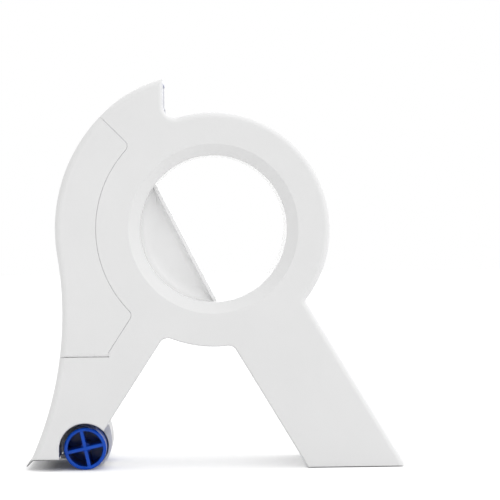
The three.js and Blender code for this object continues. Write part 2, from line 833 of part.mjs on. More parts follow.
function rollerBracket() {
  const barEnd = insideY - fitGap;
  const bar = block(
    [barCentre.x - barWidth / 2, -barEnd, barCentre.y - barHeight / 2],
    [barCentre.x + barWidth / 2, barEnd, barCentre.y + barHeight / 2],
  );
  const line = barCentre.clone().sub(rollerCentre);
  const middle = barCentre.clone().add(rollerCentre).multiplyScalar(1 / 2);
  const turn = Math.atan2(-line.x, line.y);
  const width = bossRadius * webShare;
  const web = turnedBlock(line.length(), width, -webHalf, webHalf, turn, middle.x, middle.y);
  const { x, y: z } = rollerCentre;
  const boss = rod(bossRadius, -webHalf, webHalf, smallSides, x, z);
  const fanOutline = new Outline()
    .to(x, z)
    .arc(rollerCentre, cheekCutRadius - fitGap, rad(fanFromAngle), rad(fanUntilAngle));
  const fan = prism(fanOutline, -webHalf, webHalf);
  const armTurn = tongueTurn / 2;
  const armLength = tongueInner + tongueWall / 2;
  const armPlace = new THREE.Vector2(Math.cos(armTurn), Math.sin(armTurn));
  armPlace.multiplyScalar(armLength / 2).add(rollerCentre);
  const arm = turnedBlock(width, armLength, -webHalf, webHalf, armTurn, armPlace.x, armPlace.y);
  const tongue = prism(tongueOutline(), -tongueWidth / 2, tongueWidth / 2);
  const boreWide = webHalf + overrun;
  const bore = rod(bushingRadius + fitGap / 2, -boreWide, boreWide, smallSides, x, z);
  return cut(join(bar, web, boss, fan, arm, tongue), bore);
}

// The guide plate closes the neck's back, with an L-shaped slot near its far edge
function tapeGuide() {
  const face = neckBackOffset - guideRecess;
  const top = -reach(neckBackOffset, archRadius) - guideTopDrop;
  const bottom = tongueEnd.dot(neckUp) + fitGap;
  const outline = new Outline();
  const corners = [
    [face, bottom],
    [face, top],
    [face - guideThickness, top],
    [face - guideThickness, bottom],
  ];
  for (const [offset, along] of corners) {
    const p = onLine(neckOut, offset, neckUp, along);
    outline.to(p.x, p.y);
  }
  const end = insideY - fitGap;
  const edge = end - guideSlotEdge;
  const deep = guideThickness + overrun;
  const turn = rad(neckBackAngle) - Math.PI / 2;
  const stem = onLine(neckOut, face, neckUp, top - guideSlotDrop - guideSlotLength / 2);
  const foot = onLine(neckOut, face, neckUp, top - guideSlotDrop - guideSlotLength);
  return cut(
    prism(outline, -end, end),
    turnedBlock(guideSlotLength, deep, edge - guideSlotWidth, edge, turn, stem.x, stem.y),
    turnedBlock(guideSlotWidth, deep, edge - guideSlotFoot, edge, turn, foot.x, foot.y),
  );
}

// The blade's holder fills the neck's lower front between the two halves
const holderEnd = insideY - fitGap;

function rivetPlaces() {
  const x = (neckFrontX(neckFloorZ, wall) + rollerCentre.x - cheekCutRadius) / 2;
  const outer = holderEnd - rivetInset;
  return [-outer, 0, outer].map((y) => [x, y]);
}

// A rod through the holder or the blade, along Z
function rivetRod(radius, x, y, z0, z1) {
  const geometry = new THREE.CylinderGeometry(radius, radius, z1 - z0, rivetSides);
  return solid(geometry.rotateX(Math.PI / 2).translate(x, y, (z0 + z1) / 2));
}

const rivetHoles = (z0, z1) =>
  rivetPlaces().map(([x, y]) => rivetRod(rivetRadius + fitGap / 2, x, y, z0, z1));

function bladeHolder() {
  const back = rollerCentre.x - cheekCutRadius - fitGap;
  const top = neckFloorZ + holderHeight;
  const o = new Outline();
  o.to(neckFrontX(neckFloorZ, wall + fitGap), neckFloorZ).to(back, neckFloorZ).to(back, top);
  o.to(neckFrontX(top, wall + fitGap), top);
  const holes = rivetHoles(neckFloorZ - overrun, neckFloorZ + rivetLength + fitGap);
  return cut(prism(o, -holderEnd, holderEnd), ...holes);
}

function blade() {
  const top = neckFloorZ - fitGap;
  const front = neckFrontX(neckFloorZ, 0) + bladeThickness;
  const half = bladeWidth / 2;
  const seat = block(
    [front, -half, top - bladeThickness],
    [front + bladeSeat, half, top],
  );
  const teeth = Math.round(bladeWidth / toothPitch);
  const points = [new THREE.Vector2(0, -half), new THREE.Vector2(0, half)];
  for (let i = 0; i < teeth; i++) {
    const y = half - (i * bladeWidth) / teeth;
    points.push(new THREE.Vector2(toothDepth - bladeLip, y));
    points.push(new THREE.Vector2(-bladeLip, y - bladeWidth / teeth / 2));
  }
  points.push(new THREE.Vector2(toothDepth - bladeLip, -half));
  const lip = new THREE.ExtrudeGeometry(new THREE.Shape(points), {
    depth: bladeThickness,
    bevelEnabled: false,
    curveSegments: 1,
  });
  lip.translate(0, 0, -bladeThickness).rotateY(-rad(bladeLipAngle)).translate(front, 0, top);
  return cut(join(seat, solid(lip)), ...rivetHoles(top - overrun, top + overrun));
}

function bladeRivet([x, y]) {
  const under = neckFloorZ - fitGap - bladeThickness - fitGap / 2;
  const head = new THREE.CylinderGeometry(
    rivetHeadRadius,
    rivetHeadRadius / 2,
    rivetHeadHeight,
    smallSides,
  );
  return join(
    rivetRod(rivetRadius, x, y, under, neckFloorZ + rivetLength),
    solid(head.rotateX(Math.PI / 2).translate(x, y, under - rivetHeadHeight / 2)),
  );
}

// Finishes of the pieces
const plastic = new THREE.MeshStandardMaterial({ color: 0xeeeeee, roughness: 0.45 });
const blue = new THREE.MeshStandardMaterial({ color: 0x1f35a8, roughness: 0.5 });
const steel = new THREE.MeshStandardMaterial({ color: 0xb8babd, roughness: 0.3, metalness: 1 });
const paper = new THREE.MeshStandardMaterial({ color: 0xb79b76, roughness: 0.9 });
const tape = new THREE.MeshStandardMaterial({ color: 0x2b4bb5, roughness: 0.7 });
const bronze = new THREE.MeshStandardMaterial({ color: 0x9c7a45, roughness: 0.4, metalness: 1 });
const nylon = new THREE.MeshStandardMaterial({ color: 0xd8d6cc, roughness: 0.6 });

// The tool, standing on its roller and leg with its middle over the origin
const bladeTipX =
  neckFrontX(neckFloorZ, 0) + bladeThickness - bladeLip * Math.cos(rad(bladeLipAngle));
const legHeelX = xAtHeight(legOut, legOuterOffset, floorZ);
const tool = new THREE.Group();
tool.position.set(-(bladeTipX + legHeelX) / 2, 0, hubHeight);

function add(name, made, material) {
  const { vertProperties, triVerts, numProp } = made.getMesh();
  const geometry = new THREE.BufferGeometry();
  const places = new Float32Array((vertProperties.length / numProp) * 3);
  for (let i = 0; i < places.length / 3; i++) {
    places.set(vertProperties.subarray(i * numProp, i * numProp + 3), i * 3);
  }
  geometry.setAttribute("position", new THREE.BufferAttribute(places, 3));
  geometry.setIndex(new THREE.BufferAttribute(triVerts, 1));
  geometry.computeVertexNormals();
  const mesh = new THREE.Mesh(geometry, material);
  mesh.name = name;
  tool.add(mesh);
}

add("near_shell", nearShell(), plastic);
add("far_shell", farShell(), plastic);
add("loading_door", loadingDoor(), plastic);
add("door_hinge_pin", hingePin(), steel);
add("grip_hub", gripHub(), plastic);
add("tape_core", tapeCore(), paper);
add("tape_roll", tapeRoll(), tape);
add("tape_guide", tapeGuide(), plastic);
add("roller_bracket", rollerBracket(), plastic);
add("roller_near", rollerHalf(-1), blue);
add("roller_far", rollerHalf(1), blue);
add("roller_axle", rollerAxle(), steel);
add("axle_bushing", axleBushing(), bronze);
add("thrust_washer_near", thrustWasher(-1), nylon);
add("thrust_washer_far", thrustWasher(1), nylon);
add("blade", blade(), steel);
add("blade_holder", bladeHolder(), plastic);
const rivetNames = ["blade_rivet_near", "blade_rivet_middle", "blade_rivet_far"];
rivetPlaces().forEach((place, i) => add(rivetNames[i], bladeRivet(place), steel));

const root = new THREE.Group();
root.add(tool);
export default root;
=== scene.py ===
import math

import bmesh
import bpy
from mathutils import Matrix, Vector


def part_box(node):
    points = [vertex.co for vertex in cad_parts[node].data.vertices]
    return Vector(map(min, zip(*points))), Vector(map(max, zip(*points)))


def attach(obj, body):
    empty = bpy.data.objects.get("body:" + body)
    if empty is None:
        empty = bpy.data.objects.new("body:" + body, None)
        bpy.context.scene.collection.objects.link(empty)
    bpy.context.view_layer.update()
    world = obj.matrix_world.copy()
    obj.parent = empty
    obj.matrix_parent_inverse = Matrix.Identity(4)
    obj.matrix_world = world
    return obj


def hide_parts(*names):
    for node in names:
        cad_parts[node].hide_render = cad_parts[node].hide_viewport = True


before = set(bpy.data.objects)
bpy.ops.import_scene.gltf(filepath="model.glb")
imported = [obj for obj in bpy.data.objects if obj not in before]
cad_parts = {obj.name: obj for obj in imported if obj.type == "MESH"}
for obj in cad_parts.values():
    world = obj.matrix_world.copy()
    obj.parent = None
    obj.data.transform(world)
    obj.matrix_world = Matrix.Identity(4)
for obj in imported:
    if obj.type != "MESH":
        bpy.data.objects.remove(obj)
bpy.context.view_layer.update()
bpy.context.scene.view_settings.view_transform = "Standard"
mm = 0.001

# Camera. A long lens looks along the tool's width from a little above the hub's axis, and leans
# by less than a degree, so that the leg's side stands slightly higher in the picture.
roll_low, roll_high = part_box("tape_roll")
hub = Vector(((roll_low.x + roll_high.x) / 2, 0, (roll_low.z + roll_high.z) / 2))
near_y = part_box("near_shell")[0].y
pixel = 0.4835 * mm
picture_pixels = 500
hub_pixel = Vector((213.5, 228.8))
eye_pixel = Vector((210.0, 197.0))
lean = math.radians(0.7)
eye_distance = 1190 * mm
view_reach = 20


def seen_at(place):
    """The point on the near face that the photograph shows at a pixel."""
    right = (place.x - hub_pixel.x) * pixel
    up = (hub_pixel.y - place.y) * pixel
    x = right * math.cos(lean) + up * math.sin(lean)
    z = up * math.cos(lean) - right * math.sin(lean)
    return Vector((hub.x + x, near_y, hub.z + z))


camera_data = bpy.data.cameras.new("camera")
camera = bpy.data.objects.new("camera", camera_data)
bpy.context.scene.collection.objects.link(camera)
bpy.context.scene.camera = camera
camera.location = seen_at(eye_pixel) - Vector((0, eye_distance, 0))
aim = seen_at(Vector((picture_pixels / 2, picture_pixels / 2))) - camera.location
turn = aim.to_track_quat("-Z", "Y").to_matrix().to_4x4()
camera.matrix_world = Matrix.Translation(camera.location) @ turn @ Matrix.Rotation(-lean, 4, "Z")
camera_data.lens = camera_data.sensor_width * aim.length / (picture_pixels * pixel)
camera_data.clip_end = view_reach

# Studio. A white floor under the tool. To the camera and to mirrors it glows a little, so that it
# is white where the light is open; below and just behind the neck and the leg the glow is turned
# low, a painted shadow that darkens the real shadow there.
sweep_half = 3.0
open_glow = 0.36
shade_glow = 0.03
# Each run and side of the painted shadow has a middle, and the distances from it where the glow
# starts and is full.
shade_runs = (
    (hub.x - 70 * mm, 7 * mm, 22 * mm),
    (hub.x + 67.5 * mm, 22 * mm, 24.5 * mm),
)
shade_sides = (
    (300 * mm, 331 * mm, 333 * mm),
    (-300 * mm, 331 * mm, 362 * mm),
)
sweep_paint = 0.78


def new_material(name):
    """An empty node material with its output and one Principled shader."""
    material = bpy.data.materials.new(name)
    material.use_nodes = True
    tree = material.node_tree
    tree.nodes.clear()
    output = tree.nodes.new("ShaderNodeOutputMaterial")
    shader = tree.nodes.new("ShaderNodeBsdfPrincipled")
    tree.links.new(shader.outputs["BSDF"], output.inputs["Surface"])
    return material, tree, shader


def fed(tree, node, values):
    """Gives a node's inputs, by name or place, a link or a plain value each."""
    for key, value in values.items():
        if isinstance(value, bpy.types.NodeSocket):
            tree.links.new(value, node.inputs[key])
        else:
            node.inputs[key].default_value = value


def added(tree, kind, values=None, **settings):
    """The outputs of a new node with these inputs and settings."""
    node = tree.nodes.new(kind)
    for key, value in settings.items():
        setattr(node, key, value)
    fed(tree, node, values or {})
    return node.outputs


def worked(tree, operation, *values):
    """The result of an operation on numbers."""
    return added(tree, "ShaderNodeMath", dict(enumerate(values)), operation=operation)[0]


def worked_along(tree, operation, *values, output="Vector"):
    """The result of an operation on places or directions."""
    values = dict(enumerate(values))
    return added(tree, "ShaderNodeVectorMath", values, operation=operation)[output]


def ranged(tree, value, low, high, start=0.0, end=1.0, kind="SMOOTHSTEP"):
    """A value carried from one range over to another and held at both ends."""
    values = {"Value": value, "From Min": low, "From Max": high, "To Min": start, "To Max": end}
    return added(tree, "ShaderNodeMapRange", values, interpolation_type=kind)["Result"]


def parts_of(tree, vector):
    """The X, Y and Z of a place or direction."""
    return added(tree, "ShaderNodeSeparateXYZ", {0: vector})


def object_place(tree):
    """Where the shaded point is, in object coordinates."""
    return added(tree, "ShaderNodeTexCoord")["Object"]


sweep_mesh = bpy.data.meshes.new("sweep")
sweep_corners = [(-1, -1), (1, -1), (1, 1), (-1, 1)]
sweep_mesh.from_pydata(
    [(x * sweep_half, y * sweep_half, 0) for x, y in sweep_corners], [], [(0, 1, 2, 3)]
)
sweep = bpy.data.objects.new("sweep", sweep_mesh)
bpy.context.scene.collection.objects.link(sweep)
sweep_material, tree, shader = new_material("sweep_paper")
rays = added(tree, "ShaderNodeLightPath")
seen = worked(tree, "MAXIMUM", rays["Is Camera Ray"], rays["Is Glossy Ray"])
parts = parts_of(tree, object_place(tree))


def fade_from(axis, middle, start, end):
    """The glow along one axis: little, as painted shadow, up to one distance from a place, full
    past another.
    """
    away = worked(tree, "ABSOLUTE", worked(tree, "SUBTRACT", parts[axis], middle))
    return ranged(tree, away, start, end, shade_glow, open_glow)


# The floor's glow: low where the shadow is painted, full elsewhere.
glow_with_painted_shadow = worked(tree, "MINIMUM", *[fade_from("X", *run) for run in shade_runs])
for run in shade_sides:
    glow_with_painted_shadow = worked(tree, "MAXIMUM", glow_with_painted_shadow, fade_from("Y", *run))
paper = {
    "Base Color": (sweep_paint, sweep_paint, sweep_paint, 1),
    "Roughness": 0.9,
    "Specular IOR Level": 0.0,
    "Emission Color": (1, 1, 1, 1),
    "Emission Strength": worked(tree, "MULTIPLY", seen, glow_with_painted_shadow),
}
fed(tree, shader, paper)
sweep_mesh.materials.append(sweep_material)

# The room is an even white tent, brighter towards the upper right. In mirrors its front is dim and
# its back is bright. The camera sees it plain white.
room_level = 0.70
lean_level = 0.55
lean_direction = Vector((0.80, 0.0, 0.54)).normalized()
lean_blend = 0.35
mirror_front = 0.25
mirror_front_fade = (-0.95, -0.6)
mirror_back = 1.6
mirror_back_fade = (0.2, 0.8)
world = bpy.data.worlds.new("room")
bpy.context.scene.world = world
world.use_nodes = True
tree = world.node_tree
tree.nodes.clear()
toward = added(tree, "ShaderNodeTexCoord")["Generated"]
slope = worked_along(tree, "DOT_PRODUCT", toward, lean_direction, output="Value")
lit = ranged(tree, slope, -lean_blend, lean_blend)
level = worked(tree, "MULTIPLY_ADD", lit, lean_level, room_level)
back = parts_of(tree, toward)["Y"]
front_share = ranged(tree, back, *mirror_front_fade, mirror_front)
back_share = ranged(tree, back, *mirror_back_fade, 1.0, mirror_back)
share = worked(tree, "MULTIPLY", front_share, back_share)
mirrored = worked(tree, "MULTIPLY", level, share)
rays = added(tree, "ShaderNodeLightPath")
levels = {"Factor": rays["Is Glossy Ray"], "A": level, "B": mirrored}
strength = added(tree, "ShaderNodeMix", levels)["Result"]
tents = [
    added(tree, "ShaderNodeBackground", {"Color": (1, 1, 1, 1), "Strength": bright})[0]
    for bright in (strength, 1.0)
]
seen = worked(tree, "MAXIMUM", rays["Is Camera Ray"], rays["Is Transmission Ray"])
tent = added(tree, "ShaderNodeMixShader", {"Fac": seen, 1: tents[0], 2: tents[1]})[0]
added(tree, "ShaderNodeOutputWorld", {"Surface": tent})

# A soft lamp high on the right gives the room's light its direction.
lamp_power = 0.8
lamp_size = 0.6
lamp_place = (1.1, -0.55, 0.9)
lamp_data = bpy.data.lights.new("side_lamp", "AREA")
lamp_data.energy = lamp_power
lamp_data.size = lamp_size
lamp = bpy.data.objects.new("side_lamp", lamp_data)
bpy.context.scene.collection.objects.link(lamp)
lamp.location = lamp_place
lamp.rotation_euler = (hub - lamp.location).to_track_quat("-Z", "Y").to_euler()

# Shell halves. Two injection-moulded covers of white plastic meet on a seam along the rim and
# snap together. Both start as one rounded slab, so their outsides line up across the seam.
shell_wall = 2.4 * mm
face_round = 3.0 * mm
seam_gap = 0.24 * mm
seam_break = 0.25 * mm
seam_y = -1.5 * mm
half_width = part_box("far_shell")[1].y
overrun = 8 * mm
past_side = half_width + overrun
foot_z = 0.0
disc_radius = 56.5 * mm
rim_radius = 78.5 * mm
rim_centre = hub + Vector((1.7 * mm, 0, 0))
horn_radius = 65.5 * mm
horn_angle = 133
horn_mouth = 23.6 * mm
notch_radius = 6.0 * mm
neck_waist = 73.8 * mm
neck_curve = 172 * mm
neck_lift = 5.4 * mm
neck_slope = 56.8
neck_offset = 7.8 * mm
arch_radius = 57.2 * mm
arch_neck_fillet = 4.5 * mm
arch_leg_fillet = 4.0 * mm
leg_slope = 59.2
leg_inner = 21.4 * mm
leg_outer = 19.8 * mm
leg_fillet = 1.5 * mm
crisp_share = 0.22
mouth_share = 0.7
edge_break = 0.5 * mm
foot_step = 0.45 * mm
foot_inset = 5 * mm
neck_inset = 1.2 * mm
foot_round = 1.4 * mm
chord_error = 0.012 * mm
least_runs = 3
merge_reach = 1e-7
far_out = 300 * mm


def flat(x, z):
    """A place or direction in the tool's side plane."""
    return Vector((x, z))


def pointing(angle):
    """The unit direction at an angle in the side plane."""
    return flat(math.cos(angle), math.sin(angle))


def heading(degrees):
    """The same for an angle in degrees."""
    return pointing(math.radians(degrees))


def angle_of(direction):
    """The angle of a direction in the side plane."""
    return math.atan2(direction.y, direction.x)


def arc_count(radius, start, stop):
    """How many runs an arc needs to stay within the chord error."""
    step = 2 * math.acos(1 - chord_error / radius)
    return max(least_runs, math.ceil(abs(stop - start) / step))


def along_arc(centre, radius, start, stop, inset_from=0.0, inset_to=None, count=None):
    """Points of an arc about a centre; the two insets blend along it."""
    inset_to = inset_from if inset_to is None else inset_to
    count = count or arc_count(radius, start, stop)
    points = []
    for i in range(count + 1):
        share = i / count
        angle = start + (stop - start) * share
        reach = radius + inset_from + (inset_to - inset_from) * share
        points.append(centre + reach * pointing(angle))
    return points


def x_at(out, offset, z):
    """Where a slanted line, given by its outward direction and distance, is at a height."""
    return (offset - out.y * z) / out.x


def chord(offset, radius):
    """Half the chord that lies at an offset from a circle's centre."""
    return math.sqrt(radius**2 - offset**2)


def beside(out, offset, along, radius):
    """A point on a circle about the hub: this far out, and then towards another direction."""
    return out * offset + along * chord(offset, radius)


leg_down = heading(-leg_slope)
leg_out = leg_down.orthogonal()
neck_up = heading(neck_slope)
neck_out = -neck_up.orthogonal()
rim_shift = flat(rim_centre.x - hub.x, 0)
horn_centre = rim_shift + heading(horn_angle) * (rim_radius - horn_radius)
neck_x = -neck_waist - neck_curve
neck_z = -math.sqrt((rim_radius + neck_curve) ** 2 - (neck_x - rim_shift.x) ** 2)
neck_centre = flat(neck_x, neck_z)
rim_neck_angle = angle_of(neck_centre - rim_shift) + 2 * math.pi
notch_x = notch_radius - horn_mouth
notch_centre = flat(notch_x, chord(notch_x, disc_radius + notch_radius))
arch_neck_centre = beside(
    neck_out, neck_offset + arch_neck_fillet, -neck_up, arch_radius + arch_neck_fillet
)
arch_leg_centre = beside(
    leg_out, -leg_inner - arch_leg_fillet, leg_down, arch_radius + arch_leg_fillet
)
leg_disc_centre = beside(leg_out, leg_outer + leg_fillet, leg_down, disc_radius + leg_fillet)
origin = flat(0, 0)


def horn_end_angle(soft, mouth):
    """Where the horn's arc meets its mouth."""
    return math.acos((-horn_mouth - mouth - horn_centre.x) / (horn_radius - soft))


def neck_end_angle(soft, below):
    """Where the neck's front arc comes down to a height."""
    return math.asin((below - neck_centre.y) / (neck_curve + soft))


def body_outline(soft, crisp, mouth):
    """The tool's side outline about the hub, drawn in by one amount on its soft edges, by
    another on its crisp ones and by a third at the horn's mouth."""
    below = foot_z - hub.z - overrun
    arch_from = angle_of(arch_neck_centre)
    arch_to = angle_of(arch_leg_centre)
    neck_back = angle_of(neck_out) + math.pi
    leg_front = angle_of(leg_out)
    disc_from = angle_of(leg_disc_centre)
    disc_to = angle_of(notch_centre)
    horn_start = math.radians(horn_angle)
    horn_end = horn_end_angle(soft, mouth)
    horn_runs = arc_count(horn_radius, horn_end_angle(0, 0), horn_start)
    neck_start = rim_neck_angle - math.pi
    neck_end = neck_end_angle(soft, below)
    neck_runs = arc_count(neck_curve, neck_start, neck_end_angle(0, below))
    points = [flat(x_at(neck_out, neck_offset - crisp, below), below)]
    points += along_arc(arch_neck_centre, arch_neck_fillet, neck_back, arch_from + math.pi, crisp)
    points += along_arc(origin, arch_radius, arch_from, arch_to, -crisp)
    points += along_arc(arch_leg_centre, arch_leg_fillet, arch_to + math.pi, leg_front, crisp)
    points.append(flat(x_at(leg_out, -leg_inner + crisp, below), below))
    points.append(flat(x_at(leg_out, leg_outer - soft, below), below))
    points += along_arc(leg_disc_centre, leg_fillet, leg_front + math.pi, disc_from + math.pi, soft)
    points += along_arc(origin, disc_radius, disc_from, disc_to, -soft)
    points += along_arc(notch_centre, notch_radius, disc_to - math.pi, -math.pi, soft, mouth)
    points += along_arc(horn_centre, horn_radius, horn_end, horn_start, -soft, count=horn_runs)
    points += along_arc(rim_shift, rim_radius, horn_start, rim_neck_angle, -soft)
    points += along_arc(neck_centre, neck_curve, neck_start, neck_end, soft, count=neck_runs)
    return points


def quads(total, count, closed):
    """Faces between rings of equal count, back to the first ring where it's closed."""
    faces = []
    for i in range(total if closed else total - 1):
        here = i * count
        there = (i + 1) % total * count
        for j in range(count):
            k = (j + 1) % count
            faces.append((here + j, here + k, there + k, there + j))
    return faces


def lofted(name, loops):
    """A closed mesh through rings of equal count, capped at both ends."""
    count = len(loops[0])
    faces = quads(len(loops), count, closed=False)
    faces.append(tuple(range(count)))
    faces.append(tuple(range((len(loops) - 1) * count, len(loops) * count)))
    return meshed(name, [point for loop in loops for point in loop], faces)


def meshed(name, vertices, faces):
    """A mesh object from points and faces, merged, with its faces turned outwards."""
    mesh = bpy.data.meshes.new(name)
    mesh.from_pydata(vertices, [], faces)
    work = bmesh.new()
    work.from_mesh(mesh)
    bmesh.ops.remove_doubles(work, verts=work.verts, dist=merge_reach)
    loose = [edge for edge in work.edges if not edge.link_faces]
    bmesh.ops.delete(work, geom=loose, context="EDGES")
    bmesh.ops.recalc_face_normals(work, faces=work.faces)
    work.to_mesh(mesh)
    work.free()
    piece = bpy.data.objects.new(name, mesh)
    bpy.context.scene.collection.objects.link(piece)
    return piece


def raised(points, y):
    """An outline about the hub, set at a depth across the tool."""
    return [(hub.x + p.x, y, hub.z + p.y) for p in points]


def prism(name, points, y0, y1):
    """An outline about the hub, run straight across the tool."""
    return lofted(name, [raised(points, y0), raised(points, y1)])


def bar(name, section, x0, x1):
    """A section drawn in depth against height, run straight along the tool."""
    return lofted(name, [[(x, y, z) for y, z in section] for x in (x0, x1)])


def round_run(steps=8):
    """Angles along a quarter round."""
    return [math.pi / 2 * i / steps for i in range(steps + 1)]


def half_slab(name, side):
    """Half of the solid tool, from one rounded face to the seam, whose edge is broken."""
    face = half_width * side
    seam = seam_y + seam_gap / 2 * side
    loops = []
    for angle in round_run():
        inset = face_round * (1 - math.sin(angle))
        depth = face_round * (1 - math.cos(angle))
        outline = body_outline(inset, inset * crisp_share, inset * mouth_share)
        loops.append(raised(outline, face - depth * side))
    loops.append(raised(body_outline(0, 0, 0), seam + seam_break * side))
    loops.append(raised(body_outline(seam_break, seam_break, seam_break), seam))
    return lofted(name, loops)


def applied(piece):
    """A piece with its modifiers worked into its mesh."""
    shaped = bpy.data.meshes.new_from_object(
        piece.evaluated_get(bpy.context.evaluated_depsgraph_get())
    )
    piece.modifiers.clear()
    piece.data = shaped
    return piece


def carved(piece, tools, operation="DIFFERENCE"):
    """A piece cut by, or joined with, other solids, which are used up."""
    for tool in tools:
        step = piece.modifiers.new("carve", "BOOLEAN")
        step.operation = operation
        step.solver = "MANIFOLD"
        step.object = tool
    applied(piece)
    for tool in tools:
        bpy.data.objects.remove(tool)
    return piece


def block(name, low, high):
    """A plain box between two corners, used as a cutting tool."""
    xs, ys, zs = zip(low, high)
    corners = [(x, y, z) for x in xs for y in ys for z in zs]
    sides = [(0, 1, 3, 2), (4, 6, 7, 5), (0, 4, 5, 1), (2, 3, 7, 6), (0, 2, 6, 4), (1, 5, 7, 3)]
    return meshed(name, corners, sides)


def turned(name, profile, sides, centre):
    """A solid of revolution about a line across the tool, from points (radius, y)."""
    vertices = []
    for i in range(sides):
        angle = 2 * math.pi * i / sides
        for radius, y in profile:
            x = centre.x + radius * math.cos(angle)
            vertices.append((x, y, centre.z + radius * math.sin(angle)))
    return meshed(name, vertices, quads(sides, len(profile), closed=True))


def plug(name, radius, y0, y1, sides, centre):
    """A plain round plug across the tool."""
    return turned(name, [(0, y0), (radius, y0), (radius, y1), (0, y1)], sides, centre)


def cavity_outline():
    """The hollow inside the rim walls, open under the neck's back, at the mouth of the leg
    and over the notch."""
    below = foot_z + neck_lift - hub.z - overrun
    floor = foot_z + shell_wall - hub.z
    inside = arch_radius - shell_wall
    horn_inside = horn_radius - shell_wall
    mouth_x = -horn_mouth + overrun
    outside = disc_radius + overrun
    mouth_end = leg_mouth_start + leg_mouth_length
    leg_start = beside(leg_out, shell_wall - leg_inner, leg_down, inside)
    lip = leg_out * (leg_outer - shell_wall) + leg_down * mouth_end
    lip_out = leg_out * (leg_outer + overrun) + leg_down * mouth_end
    points = [flat(x_at(neck_out, neck_offset + overrun, below), below)]
    points.append(neck_out * overrun + arch_neck_centre)
    points += along_arc(origin, inside, angle_of(arch_neck_centre), angle_of(leg_start))
    points.append(flat(x_at(leg_out, shell_wall - leg_inner, floor), floor))
    points.append(flat(x_at(leg_out, leg_outer - shell_wall, floor), floor))
    points += [lip, lip_out]
    points += along_arc(origin, outside, angle_of(leg_disc_centre), math.acos(mouth_x / outside))
    horn_start = math.radians(horn_angle)
    horn_end = math.acos((mouth_x - horn_centre.x) / horn_inside)
    points += along_arc(horn_centre, horn_inside, horn_end, horn_start)
    points += along_arc(rim_shift, rim_radius - shell_wall, horn_start, rim_neck_angle)
    neck_start = rim_neck_angle - math.pi
    neck_end = neck_end_angle(shell_wall, below)
    points += along_arc(neck_centre, neck_curve + shell_wall, neck_start, neck_end)
    return points


leg_mouth_start = 53 * mm
leg_mouth_length = 23.5 * mm
bore_radius = 35.6 * mm
flare_radius = 41.1 * mm
flare_skin = 1.5 * mm
flare_break = 0.6 * mm
flare_round = 0.8 * mm
flare_tilt = math.radians(58)
flare_foot = bore_radius + flare_round * (1 - math.cos(flare_tilt))
flare_cone = (flare_radius - flare_foot) / math.tan(flare_tilt)
flare_depth = flare_cone + flare_round * math.sin(flare_tilt)
hub_radius = 37.5 * mm
rebate_radius = hub_radius - 1 * mm
rebate = 2 * mm
fit_gap = 0.3 * mm
core_low, core_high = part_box("tape_core")
sleeve_radius = hub_radius + 0.6 * mm - fit_gap
bore_sides = 144
roller_low, roller_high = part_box("roller_near")
roller_centre = (roller_low + roller_high) / 2
cheek_radius = 12.6 * mm
cheek_sides = 96


def flare_cutter(side):
    """What opens one side for the fingers: the bore with its cone-shaped, rounded lead-in."""
    lip = flare_radius + flare_break * math.tan((math.pi / 2 - flare_tilt) / 2)
    profile = [(0, -overrun), (lip, -overrun), (lip, 0)]
    steps = 6
    for i in range(1, steps + 1):
        tilt = math.pi / 2 - (math.pi / 2 - flare_tilt) * i / steps
        profile.append((lip - flare_break * math.cos(tilt), flare_break * (1 - math.sin(tilt))))
    for i in range(steps + 1):
        tilt = flare_tilt * (1 - i / steps)
        radius = bore_radius + flare_round * (1 - math.cos(tilt))
        profile.append((radius, flare_depth - flare_round * math.sin(tilt)))
    step = rebate_radius + fit_gap
    profile += [(step, flare_depth), (step, half_width + overrun), (0, half_width + overrun)]
    placed = [(radius, (half_width - depth) * side) for radius, depth in profile]
    return turned("flare_cutter", placed, bore_sides, hub)


def slab_below(name, x0, x1, height, inset):
    """What cuts a foot off level, with a low step along both of its long edges."""
    low = height - far_out
    section = [
        (-past_side, low),
        (-past_side, height + foot_step),
        (inset - half_width, height + foot_step),
        (inset - half_width, height),
        (half_width - inset, height),
        (half_width - inset, height + foot_step),
        (past_side, height + foot_step),
        (past_side, low),
    ]
    return bar(name, section, x0, x1)


def foot_corner():
    """What rounds the leg's sharp corner at its foot."""
    below = foot_z - hub.z
    corner = flat(x_at(leg_out, leg_outer, below), below)
    half_turn = math.radians(leg_slope) / 2
    run = foot_round / math.tan(half_turn)
    centre = corner + flat(-run, foot_round)
    points = [corner + flat(-run, -overrun), corner + flat(overrun, -overrun)]
    points.append(corner - leg_down * run + leg_out * overrun)
    points += along_arc(centre, foot_round, angle_of(leg_out), -math.pi / 2)
    return prism("foot_corner", points, -past_side, past_side)


def half_shell(name, side):
    """One half: the slab, hollowed, opened for the fingers and cut away round the roller."""
    inside = (half_width - shell_wall) * side
    hollow = prism("hollow", cavity_outline(), inside, seam_y - overrun * side)
    sleeve_end = half_width - flare_depth - rebate + fit_gap
    boss_radius = flare_radius + flare_skin
    hub_boss = [
        (0, half_width * side),
        (boss_radius, half_width * side),
        (boss_radius, inside),
        (sleeve_radius, inside),
        (sleeve_radius, sleeve_end * side),
        (0, sleeve_end * side),
    ]
    carved(hollow, [turned("hub_boss", hub_boss, bore_sides, hub)])
    wide_radius = cheek_radius + edge_break + overrun
    cheek = [
        (0, -past_side),
        (wide_radius, -past_side),
        (cheek_radius, edge_break - half_width),
        (cheek_radius, half_width - edge_break),
        (wide_radius, past_side),
        (0, past_side),
    ]
    low = (roller_centre.x - cheek_radius, -past_side, -far_out)
    high = (roller_centre.x + cheek_radius + overrun, past_side, roller_centre.z)
    tools = [
        hollow,
        flare_cutter(side),
        slab_below("under_foot", -far_out, far_out, foot_z, foot_inset),
        foot_corner(),
        slab_below("under_neck", -far_out, hub.x, foot_z + neck_lift, neck_inset),
        turned("cheek", cheek, cheek_sides, roller_centre),
        block("below_cheek", low, high),
    ]
    return carved(half_slab(name, side), tools)


def softened(piece, edge, angle=40):
    """Rounds a piece's edges over a small width."""
    step = piece.modifiers.new("edges", "BEVEL")
    step.width = edge
    step.segments = 2
    step.limit_method = "ANGLE"
    step.angle_limit = math.radians(angle)
    return applied(piece)


